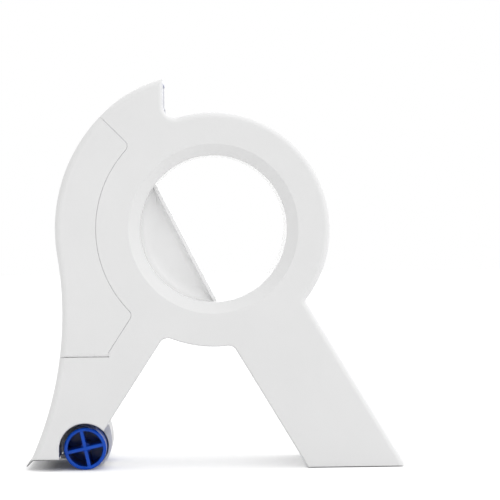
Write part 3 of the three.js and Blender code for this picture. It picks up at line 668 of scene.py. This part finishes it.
def finished(piece, angle=32):
    """Smooth shading that follows the larger faces, with edges steeper than an angle left sharp."""
    piece.data.polygons.foreach_set("use_smooth", [True] * len(piece.data.polygons))
    piece.data.set_sharp_from_angle(angle=math.radians(angle))
    weigh = piece.modifiers.new("normals", "WEIGHTED_NORMAL")
    weigh.keep_sharp = True
    return applied(piece)


def noise(tree, vector, scale, detail, rough=0.5):
    """Soft noise over places, as a value."""
    values = {"Vector": vector, "Scale": scale, "Detail": detail, "Roughness": rough}
    return added(tree, "ShaderNodeTexNoise", values)["Fac"]


def tinted(tree, shader, value, dark, light, low=0.3, high=0.7):
    """Colours a shader from a dark tone to a light one by a value."""
    node = tree.nodes.new("ShaderNodeValToRGB")
    for element, at, tone in zip(node.color_ramp.elements, (low, high), (dark, light)):
        element.position = at
        element.color = (*tone, 1)
    fed(tree, node, {"Fac": value})
    fed(tree, shader, {"Base Color": node.outputs["Color"]})


def bumped(tree, shader, height, strength, depth):
    """Roughens a shader's surface by a height."""
    values = {"Height": height, "Strength": strength, "Distance": depth}
    fed(tree, shader, {"Normal": added(tree, "ShaderNodeBump", values)["Normal"]})


def uneven(tree, value, middle, below, above):
    """A roughness that varies with a value about its middle."""
    return ranged(tree, value, 0, 1, middle - below, middle + above, "LINEAR")


def white_plastic(name, tone, roughness, mottled=0.975):
    """Moulded white plastic: a faint mottle, a fine satin grain and slightly uneven gloss."""
    material, tree, shader = new_material(name)
    place = object_place(tree)
    mottle = noise(tree, place, scale=28, detail=3)
    tinted(tree, shader, mottle, [c * mottled for c in tone], tone)
    grain = noise(tree, place, scale=2600, detail=2)
    gloss = uneven(tree, grain, roughness, below=0.04, above=0.04)
    bumped(tree, shader, grain, strength=0.12, depth=0.02 * mm)
    fed(tree, shader, {"Roughness": gloss, "Specular IOR Level": 0.45})
    return material


def dressed(piece, material):
    """Gives a piece one material on all its faces."""
    piece.data.materials.clear()
    piece.data.materials.append(material)
    piece.data.polygons.foreach_set("material_index", [0] * len(piece.data.polygons))
    return piece


shell_white = white_plastic("shell_white", tone=(0.80, 0.80, 0.80), roughness=0.42)

# Near half. It carries the loading door's opening, with the knuckle of the door's hinge on its
# lower edge, and the two long hooks that spring into the far half's windows.
door_seam = 0.12 * mm
door_break = 0.14 * mm
door_draft = 0.35 * mm
door_depth = 10 * mm
door_arc = disc_radius + 0.5 * mm
door_top = math.radians(134.7)
door_corner = 3 * mm
corner_runs = 10
door_slant = neck_offset - 18.5 * mm
door_bottom = -60.2 * mm
barrel_radius = 1.2 * mm
barrel_gap = 0.06 * mm
barrel_sides = 32
pin_low, pin_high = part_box("door_hinge_pin")
hinge = (pin_low + pin_high) / 2
pin_hole = 0.65 * mm
knuckle_length = 8 * mm
hook_width = 8 * mm
hook_arm = 2 * mm
hook_post = 6 * mm
hook_arm_length = 10 * mm
hook_recess = 0.2 * mm
ledge_width = 2 * mm
ledge_thickness = 1 * mm
window_width = 11 * mm
inner_y = half_width - shell_wall
leg_turn = math.radians(90 - leg_slope)
leg_window = leg_out * (-1.5 * mm) + leg_down * (112 * mm)
# Each window has its middle about the hub, the turn of its upward direction, and its height.
windows = {
    "hub": (flat(-7.5 * mm, 47.3 * mm), math.pi, 10 * mm),
    "neck": (flat(-57.3 * mm, -72.4 * mm), 0.0, 11.5 * mm),
    "leg": (leg_window, leg_turn, 11.5 * mm),
}


def door_outline(grow):
    """The door's outline, grown all round, and carried out past the rim."""
    out = rim_radius + overrun
    along = pointing(door_top)
    across = -along.orthogonal()
    top_centre = beside(across, -door_corner, along, door_arc + door_corner)
    low_centre = beside(neck_out, door_slant - door_corner, -neck_up, door_arc + door_corner)
    low = angle_of(low_centre)
    top = angle_of(top_centre)
    bottom = door_bottom - grow
    arc_runs = arc_count(door_arc, low + 2 * math.pi, top)
    corner = door_corner + grow
    points = [flat(-out, bottom), flat(x_at(neck_out, door_slant + grow, bottom), bottom)]
    points += along_arc(low_centre, corner, angle_of(neck_out), low + math.pi, count=corner_runs)
    points += along_arc(origin, door_arc - grow, low + 2 * math.pi, top, count=arc_runs)
    points += along_arc(top_centre, corner, top - math.pi, angle_of(across), count=corner_runs)
    end = across * grow + along * out
    points += [end, flat(-out, end.y)]
    return points


def door_tool(name, widen, grow, depth, taper):
    """The door's outline run into the shell, flared at the face and tapered with depth."""
    levels = (
        (-overrun, grow + widen),
        (0, grow + widen),
        (door_break, grow),
        (depth, grow - taper),
    )
    return lofted(name, [raised(door_outline(g), y - half_width) for y, g in levels])


def bar_along(name, radius, x0, x1):
    """A rod on the hinge's line."""
    angles = [2 * math.pi * i / barrel_sides for i in range(barrel_sides)]
    section = [(hinge.y + radius * math.cos(a), hinge.z + radius * math.sin(a)) for a in angles]
    return bar(name, section, x0, x1)


def turned_box(name, along, across, y0, y1, angle, centre):
    """A box drawn about the origin of the side plane, turned and set down at a place."""
    side = pointing(angle) * (across / 2)
    up = pointing(angle).orthogonal() * (along / 2)
    corners = [centre - up - side, centre - up + side, centre + up + side, centre + up - side]
    return prism(name, corners, y0, y1)


def window_box(place, shift, along, across, y0, y1):
    """A box of a window or its hook, shifted along the window's own upward direction."""
    centre, angle, _ = place
    up = pointing(angle).orthogonal() * shift
    return turned_box("window_box", along, across, y0, y1, angle, centre + up)


def hook_tip(place, start):
    """A hook's springing arm and the barb that lies over the window's ledge."""
    tip = half_width - hook_recess
    top = place[2] / 2 - ledge_width - fit_gap
    barb_top = place[2] / 2 - fit_gap
    barb = barb_top - top + hook_arm
    barb_start = inner_y + ledge_thickness + fit_gap
    arm = window_box(place, top - hook_arm / 2, hook_arm, hook_width, start, tip)
    hook = window_box(place, barb_top - barb / 2, barb, hook_width, barb_start, tip)
    return carved(arm, [hook], "UNION")


def long_hook(place):
    """A hook of the near half, on the thicker post that crosses the hollow."""
    start = inner_y - hook_arm_length
    top = place[2] / 2 - ledge_width - fit_gap
    foot = -inner_y - shell_wall / 2
    post = window_box(place, top - hook_post / 2, hook_post, hook_width, foot, start)
    return carved(post, [hook_tip(place, start - hook_arm)], "UNION")


swing_radius = barrel_radius + barrel_gap
groove_x = x_at(neck_out, door_slant + door_seam, door_bottom + swing_radius) + hub.x
knuckle_low = hinge.x - knuckle_length / 2
knuckle_high = hinge.x + knuckle_length / 2
door_room = door_tool("door_room", door_break, door_seam, door_depth + fit_gap, 0)
groove_break = 0.3 * mm
groove_room = 0.06 * mm
groove_low = hinge.z - swing_radius - groove_room
groove_section = [
    (-past_side, hinge.z),
    (hinge.y, hinge.z),
    (hinge.y, groove_low),
    (groove_break - half_width, groove_low),
    (-past_side, groove_low - groove_break - overrun),
]
groove = bar("groove", groove_section, -far_out, groove_x)
barrel_room = bar_along("barrel_room", swing_radius, -far_out, groove_x)
knuckle = bar_along("knuckle", barrel_radius, knuckle_low, knuckle_high)
knuckle_root = block(
    "knuckle_root",
    (knuckle_low, hinge.y, hinge.z - swing_radius - barrel_radius),
    (knuckle_high, hinge.y + barrel_radius, hinge.z),
)
near_cover = carved(half_shell("near_cover", -1), [door_room, groove, barrel_room])
hooks = [long_hook(windows["neck"]), long_hook(windows["leg"])]
carved(near_cover, [knuckle, knuckle_root] + hooks, "UNION")
carved(near_cover, [bar_along("pin_bore", pin_hole, knuckle_low - overrun, knuckle_high + overrun)])
dressed(finished(near_cover), shell_white)
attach(near_cover, "frame")
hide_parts("near_shell")

# Loading door. A panel of the near side, with its stretch of rim, that folds out on a steel pin
# so that a roll can be put in. It is moulded in the same plastic as the halves.
door = half_slab("door_panel", -1)
carved(door, [door_tool("region", -door_break, 0, door_depth, door_draft)], "INTERSECT")
barrels = half_slab("barrels", -1)
rod = bar_along("rod", barrel_radius, -far_out, groove_x - barrel_gap)
room_low = knuckle_low - barrel_gap
room_high = knuckle_high + barrel_gap
gap = block(
    "gap",
    (room_low, -past_side, hinge.z - overrun),
    (room_high, hinge.y + overrun, hinge.z + overrun),
)
carved(barrels, [carved(rod, [gap])], "INTERSECT")
reach_in = bar_along("reach_in", swing_radius, room_low, room_high)
door_hollow = prism("door_hollow", cavity_outline(), -inner_y, half_width)
carved(door, [door_hollow, reach_in])
carved(door, [barrels], "UNION")
carved(door, [bar_along("pin_bore", pin_hole, pin_low.x - barrel_gap, pin_high.x + barrel_gap)])
dressed(finished(door), shell_white)
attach(door, "door")
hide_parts("loading_door")

# Far half. Its flat side has three windows with a ledge each for the hooks' barbs. A short tab
# closes the corner of the leg's mouth, and a thin slit is moulded in the leg's rear wall.
tab_height = 9.5 * mm
tab_width = 12 * mm
slit_height = 0.8 * mm
slit_length = 10 * mm
slit_place = 101.5 * mm
far_cover = half_shell("far_cover", 1)
cuts = []
for place in windows.values():
    height = place[2]
    outer_y = inner_y + ledge_thickness
    cuts.append(window_box(place, 0, height, window_width, outer_y, past_side))
    inner = height - ledge_width
    drop = -ledge_width / 2
    cuts.append(window_box(place, drop, inner, window_width, inner_y - overrun, outer_y))
rear = leg_out * (leg_outer - shell_wall / 2)
slit_low = seam_y + shell_wall
slit_high = slit_low + slit_length
slit_middle = rear + leg_down * slit_place
slit_deep = shell_wall + overrun
slit = turned_box("slit", slit_height, slit_deep, slit_low, slit_high, leg_turn, slit_middle)
cuts.append(slit)
mouth_break = 1.8 * mm
mouth_x = hub.x - horn_mouth
mouth_section = [
    (mouth_x - mouth_break - overrun, inner_y - overrun),
    (mouth_x + overrun, inner_y + mouth_break + overrun),
    (mouth_x + overrun, inner_y - overrun),
]
mouth_from = hub.z + notch_centre.y
mouth_until = hub.z + rim_radius + overrun
cuts.append(
    lofted("mouth", [[(x, y, z) for x, y in mouth_section] for z in (mouth_from, mouth_until)])
)
carved(far_cover, cuts)
tab_place = leg_mouth_start + leg_mouth_length - tab_height / 2 + shell_wall / 2
tab = turned_box(
    "tab",
    tab_height + shell_wall,
    shell_wall,
    inner_y - tab_width,
    inner_y + shell_wall / 2,
    leg_turn,
    rear + leg_down * tab_place,
)
carved(far_cover, [tab], "UNION")
dressed(finished(far_cover), shell_white)
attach(far_cover, "frame")
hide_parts("far_shell")

# Finger hub. A white tube between the two flares, which the roll turns on. Inside, a palm plate
# shuts off a dished pocket on either side, and a flange with a hook holds the tube to the far half.
hub_end = half_width - flare_depth - door_seam
flange_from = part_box("tape_roll")[1].y + 0.6 * mm
flange_to = flange_from + 2 * mm
flange_radius = hub_radius + 2.8 * mm
plate_offset = 15 * mm
plate_thickness = 1.7 * mm
plate_round = 0.4 * mm
plate_reach = half_width - 16 * mm
plate_turn = 207
plate_direction = heading(plate_turn)
plate_tangent = heading(plate_turn + 90)
pocket_floor = half_width - 21 * mm
pocket_fillet = 8 * mm
pocket_corner = 4 * mm
trim_radius = (bore_radius + rebate_radius) / 2


def palm_section(name, section):
    """A shape drawn in depth against the distance from the axis, run along the palm plate."""
    loops = []
    for end in (-bore_radius, bore_radius):
        ring = [(plate_direction * n + plate_tangent * end, y) for n, y in section]
        loops.append([(hub.x + p.x, y, hub.z + p.y) for p, y in ring])
    return lofted(name, loops)


def palm_plate():
    """The upright plate with rounded edges."""
    near = plate_offset + plate_round
    far = plate_offset + plate_thickness - plate_round
    end = plate_reach - plate_round
    section = []
    for n, y, start in ((near, end, 180), (far, end, 90), (far, -end, 0), (near, -end, -90)):
        for angle in round_run(5):
            turn = math.radians(start) - angle
            section.append((n + plate_round * math.cos(turn), y + plate_round * math.sin(turn)))
    return palm_section("palm_plate", section)


def palm_web():
    """The web behind the plate: a flat middle that curves up to the bore's wall."""
    rise = plate_reach - pocket_floor
    edge = [(trim_radius, plate_reach)]
    for angle in reversed(round_run()):
        radius = bore_radius - pocket_fillet * (1 - math.sin(angle))
        edge.append((radius, plate_reach - rise * math.cos(angle)))
    profile = [(0, -pocket_floor)] + [(r, -y) for r, y in reversed(edge)]
    profile += edge + [(0, pocket_floor)]
    web = turned("palm_web", profile, bore_sides, hub)
    start = plate_offset + plate_thickness / 2
    far = bore_radius + overrun
    wide = half_width
    beyond = palm_section("beyond", [(start, -wide), (far, -wide), (far, wide), (start, wide)])
    return carved(web, [beyond], "INTERSECT")


def palm_corner(side):
    """The fillet between the plate and the web."""
    foot = plate_offset + plate_thickness
    top = pocket_floor + pocket_corner
    section = [(foot - plate_round, pocket_floor - plate_round)]
    section.append((foot + pocket_corner, pocket_floor - plate_round))
    for angle in round_run():
        n = foot + pocket_corner * (1 - math.sin(angle))
        section.append((n, top - pocket_corner * math.cos(angle)))
    section.append((foot - plate_round, top))
    return palm_section("palm_corner", [(n, y * side) for n, y in section])


ring = [
    (bore_radius, -hub_end),
    (rebate_radius, -hub_end),
    (rebate_radius, rebate - hub_end),
    (hub_radius, rebate - hub_end),
    (hub_radius, flange_from),
    (flange_radius, flange_from),
    (flange_radius, flange_to),
    (hub_radius, flange_to),
    (hub_radius, hub_end - rebate),
    (rebate_radius, hub_end - rebate),
    (rebate_radius, hub_end),
    (bore_radius, hub_end),
]
finger_tube = turned("finger_hub", ring, bore_sides, hub)
palm = carved(palm_plate(), [palm_web(), palm_corner(-1), palm_corner(1)], "UNION")
carved(palm, [plug("trim", trim_radius, -hub_end, hub_end, bore_sides, hub)], "INTERSECT")
carved(finger_tube, [palm], "UNION")
hub_place = windows["hub"]
arm_top = hub_place[0].y - hub_place[2] / 2 + ledge_width + fit_gap + hook_arm
riser = block(
    "riser",
    (hub.x + hub_place[0].x - hook_width / 2, flange_from, hub.z + rebate_radius),
    (hub.x + hub_place[0].x + hook_width / 2, flange_to, hub.z + arm_top),
)
carved(finger_tube, [riser, hook_tip(hub_place, flange_from)], "UNION")
# The hub's white is paler than the shells' white: painted light that lifts the shade in its deep
# pockets.
palm_white_painted_light = white_plastic("palm_white_painted_light", tone=(0.88, 0.88, 0.88), roughness=0.26)
dressed(finished(finger_tube), palm_white_painted_light)
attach(finger_tube, "frame")
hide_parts("grip_hub")

# Roll of tape. Creped blue paper tape is wound tightly on a board core. Its edge shows the
# crepe's fine cross ridges and its sides show the turns.
roll_edge = 0.6 * mm
roll_sides = 180


def about_hub(tree):
    """Object coordinates as the way round the hub, across the tool and out from the hub."""
    shift = worked_along(tree, "SUBTRACT", object_place(tree), hub)
    parts = parts_of(tree, shift)
    angle = worked(tree, "ARCTAN2", parts["Z"], parts["X"])
    level = worked_along(tree, "MULTIPLY", shift, (1, 0, 1))
    reach = worked_along(tree, "LENGTH", level, output="Value")
    return added(tree, "ShaderNodeCombineXYZ", {"X": angle, "Y": parts["Y"], "Z": reach})[0]


def wound(name, stretch, dark, light, roughness, depth):
    """A material for something wound about the hub: noise drawn out along the turns."""
    material, tree, shader = new_material(name)
    drawn = worked_along(tree, "MULTIPLY", about_hub(tree), stretch)
    ridges = noise(tree, drawn, scale=1, detail=4, rough=0.6)
    tinted(tree, shader, ridges, dark, light, high=0.72)
    bumped(tree, shader, ridges, strength=0.6, depth=depth)
    fed(tree, shader, {"Roughness": roughness})
    return material


tape_blue = wound(
    "tape_blue",
    stretch=(110, 130, 5200),
    dark=(0.010, 0.044, 0.36),
    light=(0.024, 0.082, 0.52),
    roughness=0.66,
    depth=0.06 * mm,
)
tape_radius = (roll_high.x - roll_low.x) / 2
core_radius = (core_high.x - core_low.x) / 2 + fit_gap
roll_profile = [
    (core_radius, roll_low.y),
    (tape_radius - roll_edge, roll_low.y),
    (tape_radius, roll_low.y + roll_edge),
    (tape_radius, roll_high.y - roll_edge),
    (tape_radius - roll_edge, roll_high.y),
    (core_radius, roll_high.y),
]
roll = turned("tape_winding", roll_profile, roll_sides, hub)
dressed(finished(roll), tape_blue)
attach(roll, "tape")
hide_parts("tape_roll")

# The core is board wound from several plies, brown and fibrous.
core_board = wound(
    "core_board",
    stretch=(26, 90, 2600),
    dark=(0.36, 0.25, 0.15),
    light=(0.50, 0.37, 0.24),
    roughness=0.85,
    depth=0.05 * mm,
)
dressed_nodes = {"tape_core": core_board}

# Roller. Two moulded wheels of blue plastic run on one axle, each with four spokes round its
# middle and a web at its inner end. It rolls the tape down on to the wall.
wheel_radius = (roller_high.x - roller_low.x) / 2
wheel_wall = 1.7 * mm
wheel_hub = 2.5 * mm
wheel_bore = 1.8 * mm
wheel_web = 1.5 * mm
wheel_round = 0.9 * mm
wheel_break = 0.35 * mm
sleeve_cap = 1.5 * mm
spoke_width = 1.7 * mm
spoke_turn = math.radians(12.2)
spoke_recess = 0.35 * mm
spoke_break = 0.3 * mm
spoke_count = 4
spoke_start = spoke_width * 0.55
spoke_pin = spoke_width * 0.75
wheel_sides = 120
sleeve_sides = 60


def repeated(piece, count, step, turn, material):
    """Copies of a piece, each moved by a step and turned about the tool's cross axis."""
    tree = bpy.data.node_groups.new("copies", "GeometryNodeTree")
    face = tree.interface
    face.new_socket("Geometry", in_out="INPUT", socket_type="NodeSocketGeometry")
    kinds = {"Count": "Int", "Start": "Vector", "Step": "Vector", "Turn": "Float"}
    sockets = {}
    for name, kind in kinds.items():
        sockets[name] = face.new_socket(name, in_out="INPUT", socket_type="NodeSocket" + kind)
    face.new_socket("Geometry", in_out="OUTPUT", socket_type="NodeSocketGeometry")
    given = added(tree, "NodeGroupInput")
    index = added(tree, "GeometryNodeInputIndex")[0]
    along = worked_along(tree, "MULTIPLY_ADD", index, given["Step"], given["Start"])
    points = added(tree, "GeometryNodePoints", {"Count": given["Count"], "Position": along})[0]
    angle = worked(tree, "MULTIPLY", index, given["Turn"])
    spin = added(tree, "ShaderNodeCombineXYZ", {"Y": angle})[0]
    placed = {"Points": points, "Instance": given["Geometry"], "Rotation": spin}
    copies = added(tree, "GeometryNodeInstanceOnPoints", placed)[0]
    real = added(tree, "GeometryNodeRealizeInstances", {0: copies})[0]
    clad = added(tree, "GeometryNodeSetMaterial", {"Geometry": real, "Material": material})[0]
    added(tree, "NodeGroupOutput", {"Geometry": clad})
    maker = piece.modifiers.new("copies", "NODES")
    maker.node_group = tree
    for name, value in zip(kinds, (count, *step, turn)):
        maker[sockets[name].identifier] = value
    return applied(piece)


def gloss_plastic(name, dark, light, roughness, sheen):
    """Coloured moulded plastic with a soft sheen and faint flow marks."""
    material, tree, shader = new_material(name)
    flow = noise(tree, object_place(tree), scale=180, detail=5)
    tinted(tree, shader, flow, dark, light)
    bumped(tree, shader, flow, strength=0.15, depth=0.05 * mm)
    fed(tree, shader, {"Roughness": roughness, "Specular IOR Level": sheen})
    return material


roller_blue = gloss_plastic(
    "roller_blue",
    dark=(0.001, 0.055, 0.42),
    light=(0.002, 0.075, 0.52),
    roughness=0.14,
    sheen=0.22,
)


def wheel(name, piece_name, side):
    """One half of the roller: rim, web and closed sleeve turned as one, with spokes added."""
    low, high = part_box(name)
    inner = low.y if side > 0 else high.y
    length = high.y - low.y
    rim = wheel_radius - wheel_wall
    bore_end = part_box("roller_axle")[1].y - abs(inner) + fit_gap
    sleeve_end = bore_end + sleeve_cap
    spoke_end = length - spoke_recess
    profile = [(wheel_bore, 0), (wheel_radius - wheel_break, 0), (wheel_radius, wheel_break)]
    for angle in round_run():
        radius = wheel_radius - wheel_round * (1 - math.cos(angle))
        profile.append((radius, length - wheel_round * (1 - math.sin(angle))))
    profile += [
        (rim + wheel_break / 2, length),
        (rim, length - wheel_break / 2),
        (rim, wheel_web),
        (wheel_hub, wheel_web),
        (wheel_hub, sleeve_end),
        (spoke_pin, sleeve_end),
        (spoke_pin, spoke_end - spoke_break),
        (spoke_pin - spoke_break, spoke_end),
        (0, spoke_end),
        (0, bore_end),
        (wheel_bore, bore_end),
    ]
    section = [(r, inner + y * side) for r, y in profile]
    drum = turned(piece_name, section, wheel_sides, roller_centre)
    spoke = block(
        "spoke",
        (spoke_start, inner, -spoke_width / 2),
        (wheel_radius - wheel_wall / 2, inner + spoke_end * side, spoke_width / 2),
    )
    softened(spoke, spoke_break)
    room = (wheel_bore + wheel_hub) / 2
    room_end = bore_end + sleeve_cap / 2
    y0 = inner - overrun * side
    y1 = inner + room_end * side
    carved(spoke, [plug("sleeve_room", room, y0, y1, sleeve_sides, origin.to_3d())])
    spoke.data.transform(Matrix.Rotation(-spoke_turn, 4, "Y"))
    centre = (roller_centre.x, 0, roller_centre.z)
    repeated(spoke, spoke_count, (centre, (0, 0, 0)), 2 * math.pi / spoke_count, roller_blue)
    carved(drum, [spoke], "UNION")
    dressed(finished(drum), roller_blue)
    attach(drum, "roller")
    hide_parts(name)


wheel("roller_near", "wheel_near", -1)
wheel("roller_far", "wheel_far", 1)

# Bracket. A bar across the neck carries a web that comes down between the wheels to the axle. The
# web fans out in front of them, down to a small toe, and holds the curved tongue behind them.
inner_white = white_plastic("inner_white", tone=(0.78, 0.78, 0.785), roughness=0.45)
wheel_place = flat(roller_centre.x - hub.x, roller_centre.z - hub.z)
bar_centre = wheel_place + flat(-9 * mm, 15.5 * mm)
bar_width = 6 * mm
bar_height = 5 * mm
web_half = 1.5 * mm
boss_radius = 4.6 * mm
bushing_room = 3.05 * mm
fan_from = math.radians(62)
fan_until = math.radians(180)
fan_lift = 3.0 * mm
fan_toe = 1.2 * mm
fan_toe_height = 2.2 * mm
tongue_width = 25 * mm
tongue_wall = 1.1 * mm
tongue_inner = wheel_radius + 0.6 * mm
tongue_bulge = 20 * mm
tongue_tip = math.radians(-50)
tongue_turn = math.radians(-20)
tongue_top = math.radians(27)
web_width = boss_radius * 1.6
boss_sides = 64
bushing_sides = 48
tongue_outer = tongue_inner + tongue_wall
bulge_centre = wheel_place + pointing(tongue_turn) * (tongue_outer - tongue_bulge)
tongue_back = along_arc(wheel_place, tongue_outer, tongue_tip, tongue_turn)
tongue_back += along_arc(bulge_centre, tongue_bulge, tongue_turn, tongue_top)[1:]
tongue_points = list(tongue_back)
tongue_points += along_arc(bulge_centre, tongue_bulge - tongue_wall, tongue_top, tongue_turn)
tongue_points += along_arc(wheel_place, tongue_inner, tongue_turn, tongue_tip)[1:]
tongue = prism("tongue", tongue_points, -tongue_width / 2, tongue_width / 2)
rib_wall = 1.2 * mm
rib_start = math.radians(60)
rib_points = tongue_back + along_arc(wheel_place, tongue_inner, rib_start, tongue_tip)
ribs = [
    prism("rib", rib_points, edge, edge + step)
    for edge, step in ((-tongue_width / 2, rib_wall), (tongue_width / 2, -rib_wall))
]
bar_low, bar_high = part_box("roller_bracket")
bracket = turned_box("bracket", bar_height, bar_width, bar_low.y, bar_high.y, 0, bar_centre)
line = bar_centre - wheel_place
web_turn = math.atan2(-line.x, line.y)
web_middle = (bar_centre + wheel_place) / 2
web = turned_box("web", line.length, web_width, -web_half, web_half, web_turn, web_middle)
boss = plug("boss", boss_radius, -web_half, web_half, boss_sides, roller_centre)
arm_turn = tongue_turn / 2
arm_length = tongue_inner + tongue_wall / 2
arm_middle = wheel_place + pointing(arm_turn) * (arm_length / 2)
arm = turned_box("arm", web_width, arm_length, -web_half, web_half, arm_turn, arm_middle)
fan_radius = cheek_radius - fit_gap
fan_foot = foot_z + fan_lift - hub.z
fan_points = [wheel_place]
fan_points += along_arc(wheel_place, fan_radius, fan_from, fan_until)
for back, up in (
    (fan_radius, fan_toe_height),
    (fan_radius + fan_toe, fan_toe_height),
    (fan_radius + fan_toe, 0),
    (boss_radius, 0),
):
    fan_points.append(flat(wheel_place.x - back, fan_foot + up))
fan = prism("fan", fan_points, -web_half, web_half)
carved(bracket, [web, boss, fan, arm, tongue] + ribs, "UNION")
carved(bracket, [plug("bore", bushing_room, -overrun, overrun, bushing_sides, roller_centre)])
dressed(finished(bracket), inner_white)
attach(bracket, "frame")
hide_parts("roller_bracket")

# Guide plate. It closes the neck's back, set in a little between the two halves, and has an
# L-shaped slot near its far edge.
guide_recess = 1 * mm
guide_thickness = 2 * mm
guide_top = -chord(neck_offset, arch_radius) - 8 * mm
tongue_end = bulge_centre + pointing(tongue_top) * tongue_bulge
guide_bottom = tongue_end.dot(neck_up) + fit_gap
guide_round = 0.2 * mm
guide_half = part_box("tape_guide")[1].y
slot_width = 1.4 * mm
slot_length = 9 * mm
slot_foot = 4 * mm
slot_edge = guide_half - 9 * mm
slot_drop = 3 * mm
guide_face = neck_offset - guide_recess
guide_corners = [
    neck_out * offset + neck_up * along
    for offset, along in (
        (guide_face, guide_bottom),
        (guide_face, guide_top),
        (guide_face - guide_thickness, guide_top),
        (guide_face - guide_thickness, guide_bottom),
    )
]
guide = prism("guide_plate", guide_corners, -guide_half, guide_half)
slot_turn = math.radians(neck_slope - 90)
deep = guide_thickness + overrun
stem_place = neck_out * guide_face + neck_up * (guide_top - slot_drop - slot_length / 2)
foot_place = neck_out * guide_face + neck_up * (guide_top - slot_drop - slot_length)
cuts = [
    turned_box("slot", height, deep, slot_edge - width, slot_edge, slot_turn, place)
    for height, width, place in (
        (slot_length, slot_width, stem_place),
        (slot_width, slot_foot, foot_place),
    )
]
carved(guide, cuts)
dressed(finished(softened(guide, guide_round)), inner_white)
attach(guide, "frame")
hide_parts("tape_guide")

# Blade. A strip of thin steel lies under the neck's front corner, bent down at its toothed edge,
# where the tape is torn off. Three rivets hold it to the white holder inside the neck.
blade_low, blade_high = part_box("blade")
blade_thickness = 0.5 * mm
blade_lip = 4.4 * mm
lip_angle = math.radians(45)
tooth_pitch = 2 * mm
tooth_depth = 1.1 * mm
blade_front = blade_low.x + blade_lip * math.cos(lip_angle)
lip_along = -pointing(lip_angle)
lip_below = lip_along.orthogonal()
bend = flat(blade_front - hub.x, blade_high.z - hub.z)


def brushed_metal(name, dark, light, stretch, roughness):
    """Metal with fine marks, which can be drawn out in one direction."""
    material, tree, shader = new_material(name)
    drawn = worked_along(tree, "MULTIPLY", object_place(tree), stretch)
    marks = noise(tree, drawn, scale=1, detail=4)
    tinted(tree, shader, marks, dark, light)
    gloss = uneven(tree, marks, roughness, below=0.06, above=0.08)
    fed(tree, shader, {"Roughness": gloss, "Metallic": 1.0})
    return material


# The blade's steel is far darker than the rivets' steel: painted shade and reflection for its place
# under the neck.
blade_steel = brushed_metal(
    "blade_steel",
    dark=(0.15, 0.15, 0.155),
    light=(0.26, 0.26, 0.265),
    stretch=(3000, 60, 3000),
    roughness=0.36,
)
lip_root = blade_lip - tooth_depth
lip_corners = [
    bend,
    bend + lip_along * lip_root,
    bend + lip_along * lip_root + lip_below * blade_thickness,
    bend + lip_below * blade_thickness,
]
blade = block(
    "blade_strip",
    (blade_front, blade_low.y, blade_high.z - blade_thickness),
    (blade_high.x, blade_high.y, blade_high.z),
)
half_pitch = tooth_pitch / 2
tooth_root = bend + lip_along * (lip_root - blade_thickness)
tooth_shoulder = bend + lip_along * lip_root
tooth_top = [
    Vector((place.x, y, place.y))
    for place, y in (
        (tooth_root, -half_pitch),
        (tooth_shoulder, -half_pitch),
        (bend + lip_along * blade_lip, 0),
        (tooth_shoulder, half_pitch),
        (tooth_root, half_pitch),
    )
]
down = Vector((lip_below.x, 0, lip_below.y)) * blade_thickness
tooth = lofted("tooth", [tooth_top, [corner + down for corner in tooth_top]])
tooth_total = round((blade_high.y - blade_low.y) / tooth_pitch)
first_tooth = Vector((hub.x, blade_low.y + half_pitch, hub.z))
repeated(tooth, tooth_total, (first_tooth, (0, tooth_pitch, 0)), 0.0, blade_steel)
lip = prism("lip", lip_corners, blade_low.y, blade_high.y)
carved(blade, [lip, tooth], "UNION")
dressed(finished(blade), blade_steel)
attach(blade, "frame")
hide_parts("blade")

# Rivets. Three steel rivets with low domed heads come up through the blade into the holder.
rivet_low, rivet_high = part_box("blade_rivet_near")
last_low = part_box("blade_rivet_far")[0]
rivet_radius = 1.3 * mm
head_height = 0.8 * mm
head_radius = (rivet_high.y - rivet_low.y) / 2
head_crown = 0.35
rivet_count = 3
rivet_sides = 32
bright_steel = brushed_metal(
    "bright_steel",
    dark=(0.46, 0.47, 0.48),
    light=(0.62, 0.63, 0.64),
    stretch=(900, 900, 900),
    roughness=0.34,
)
rivet_profile = [(0, rivet_low.z)]
for angle in round_run():
    radius = head_radius * (head_crown + (1 - head_crown) * math.sin(angle))
    rivet_profile.append((radius, rivet_low.z + head_height * (1 - math.cos(angle))))
rivet_profile += [
    (rivet_radius, rivet_low.z + head_height),
    (rivet_radius, rivet_high.z),
    (0, rivet_high.z),
]
rivet = turned("blade_rivets", rivet_profile, rivet_sides, origin.to_3d())
rivet.data.transform(Matrix.Rotation(math.pi / 2, 4, "X"))
first_rivet = ((rivet_low.x + rivet_high.x) / 2, (rivet_low.y + rivet_high.y) / 2, 0)
rivet_step = (0, (last_low.y - rivet_low.y) / (rivet_count - 1), 0)
repeated(rivet, rivet_count, (first_rivet, rivet_step), 0.0, bright_steel)
dressed(finished(rivet), bright_steel)
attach(rivet, "frame")
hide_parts("blade_rivet_near", "blade_rivet_middle", "blade_rivet_far")

# Small pieces that keep their plain turned or square shape get the finish of the real ones.
bronze = brushed_metal(
    "bronze",
    dark=(0.38, 0.25, 0.10),
    light=(0.52, 0.37, 0.17),
    stretch=(700, 700, 700),
    roughness=0.42,
)
nylon = gloss_plastic(
    "nylon",
    dark=(0.66, 0.65, 0.58),
    light=(0.72, 0.71, 0.64),
    roughness=0.5,
    sheen=0.5,
)
dressed_nodes |= {"door_hinge_pin": bright_steel, "roller_axle": bright_steel}
dressed_nodes |= {"axle_bushing": bronze, "blade_holder": inner_white}
dressed_nodes |= {"thrust_washer_near": nylon, "thrust_washer_far": nylon}
for name, material in dressed_nodes.items():
    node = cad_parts[name]
    node.data.materials.clear()
    node.data.materials.append(material)
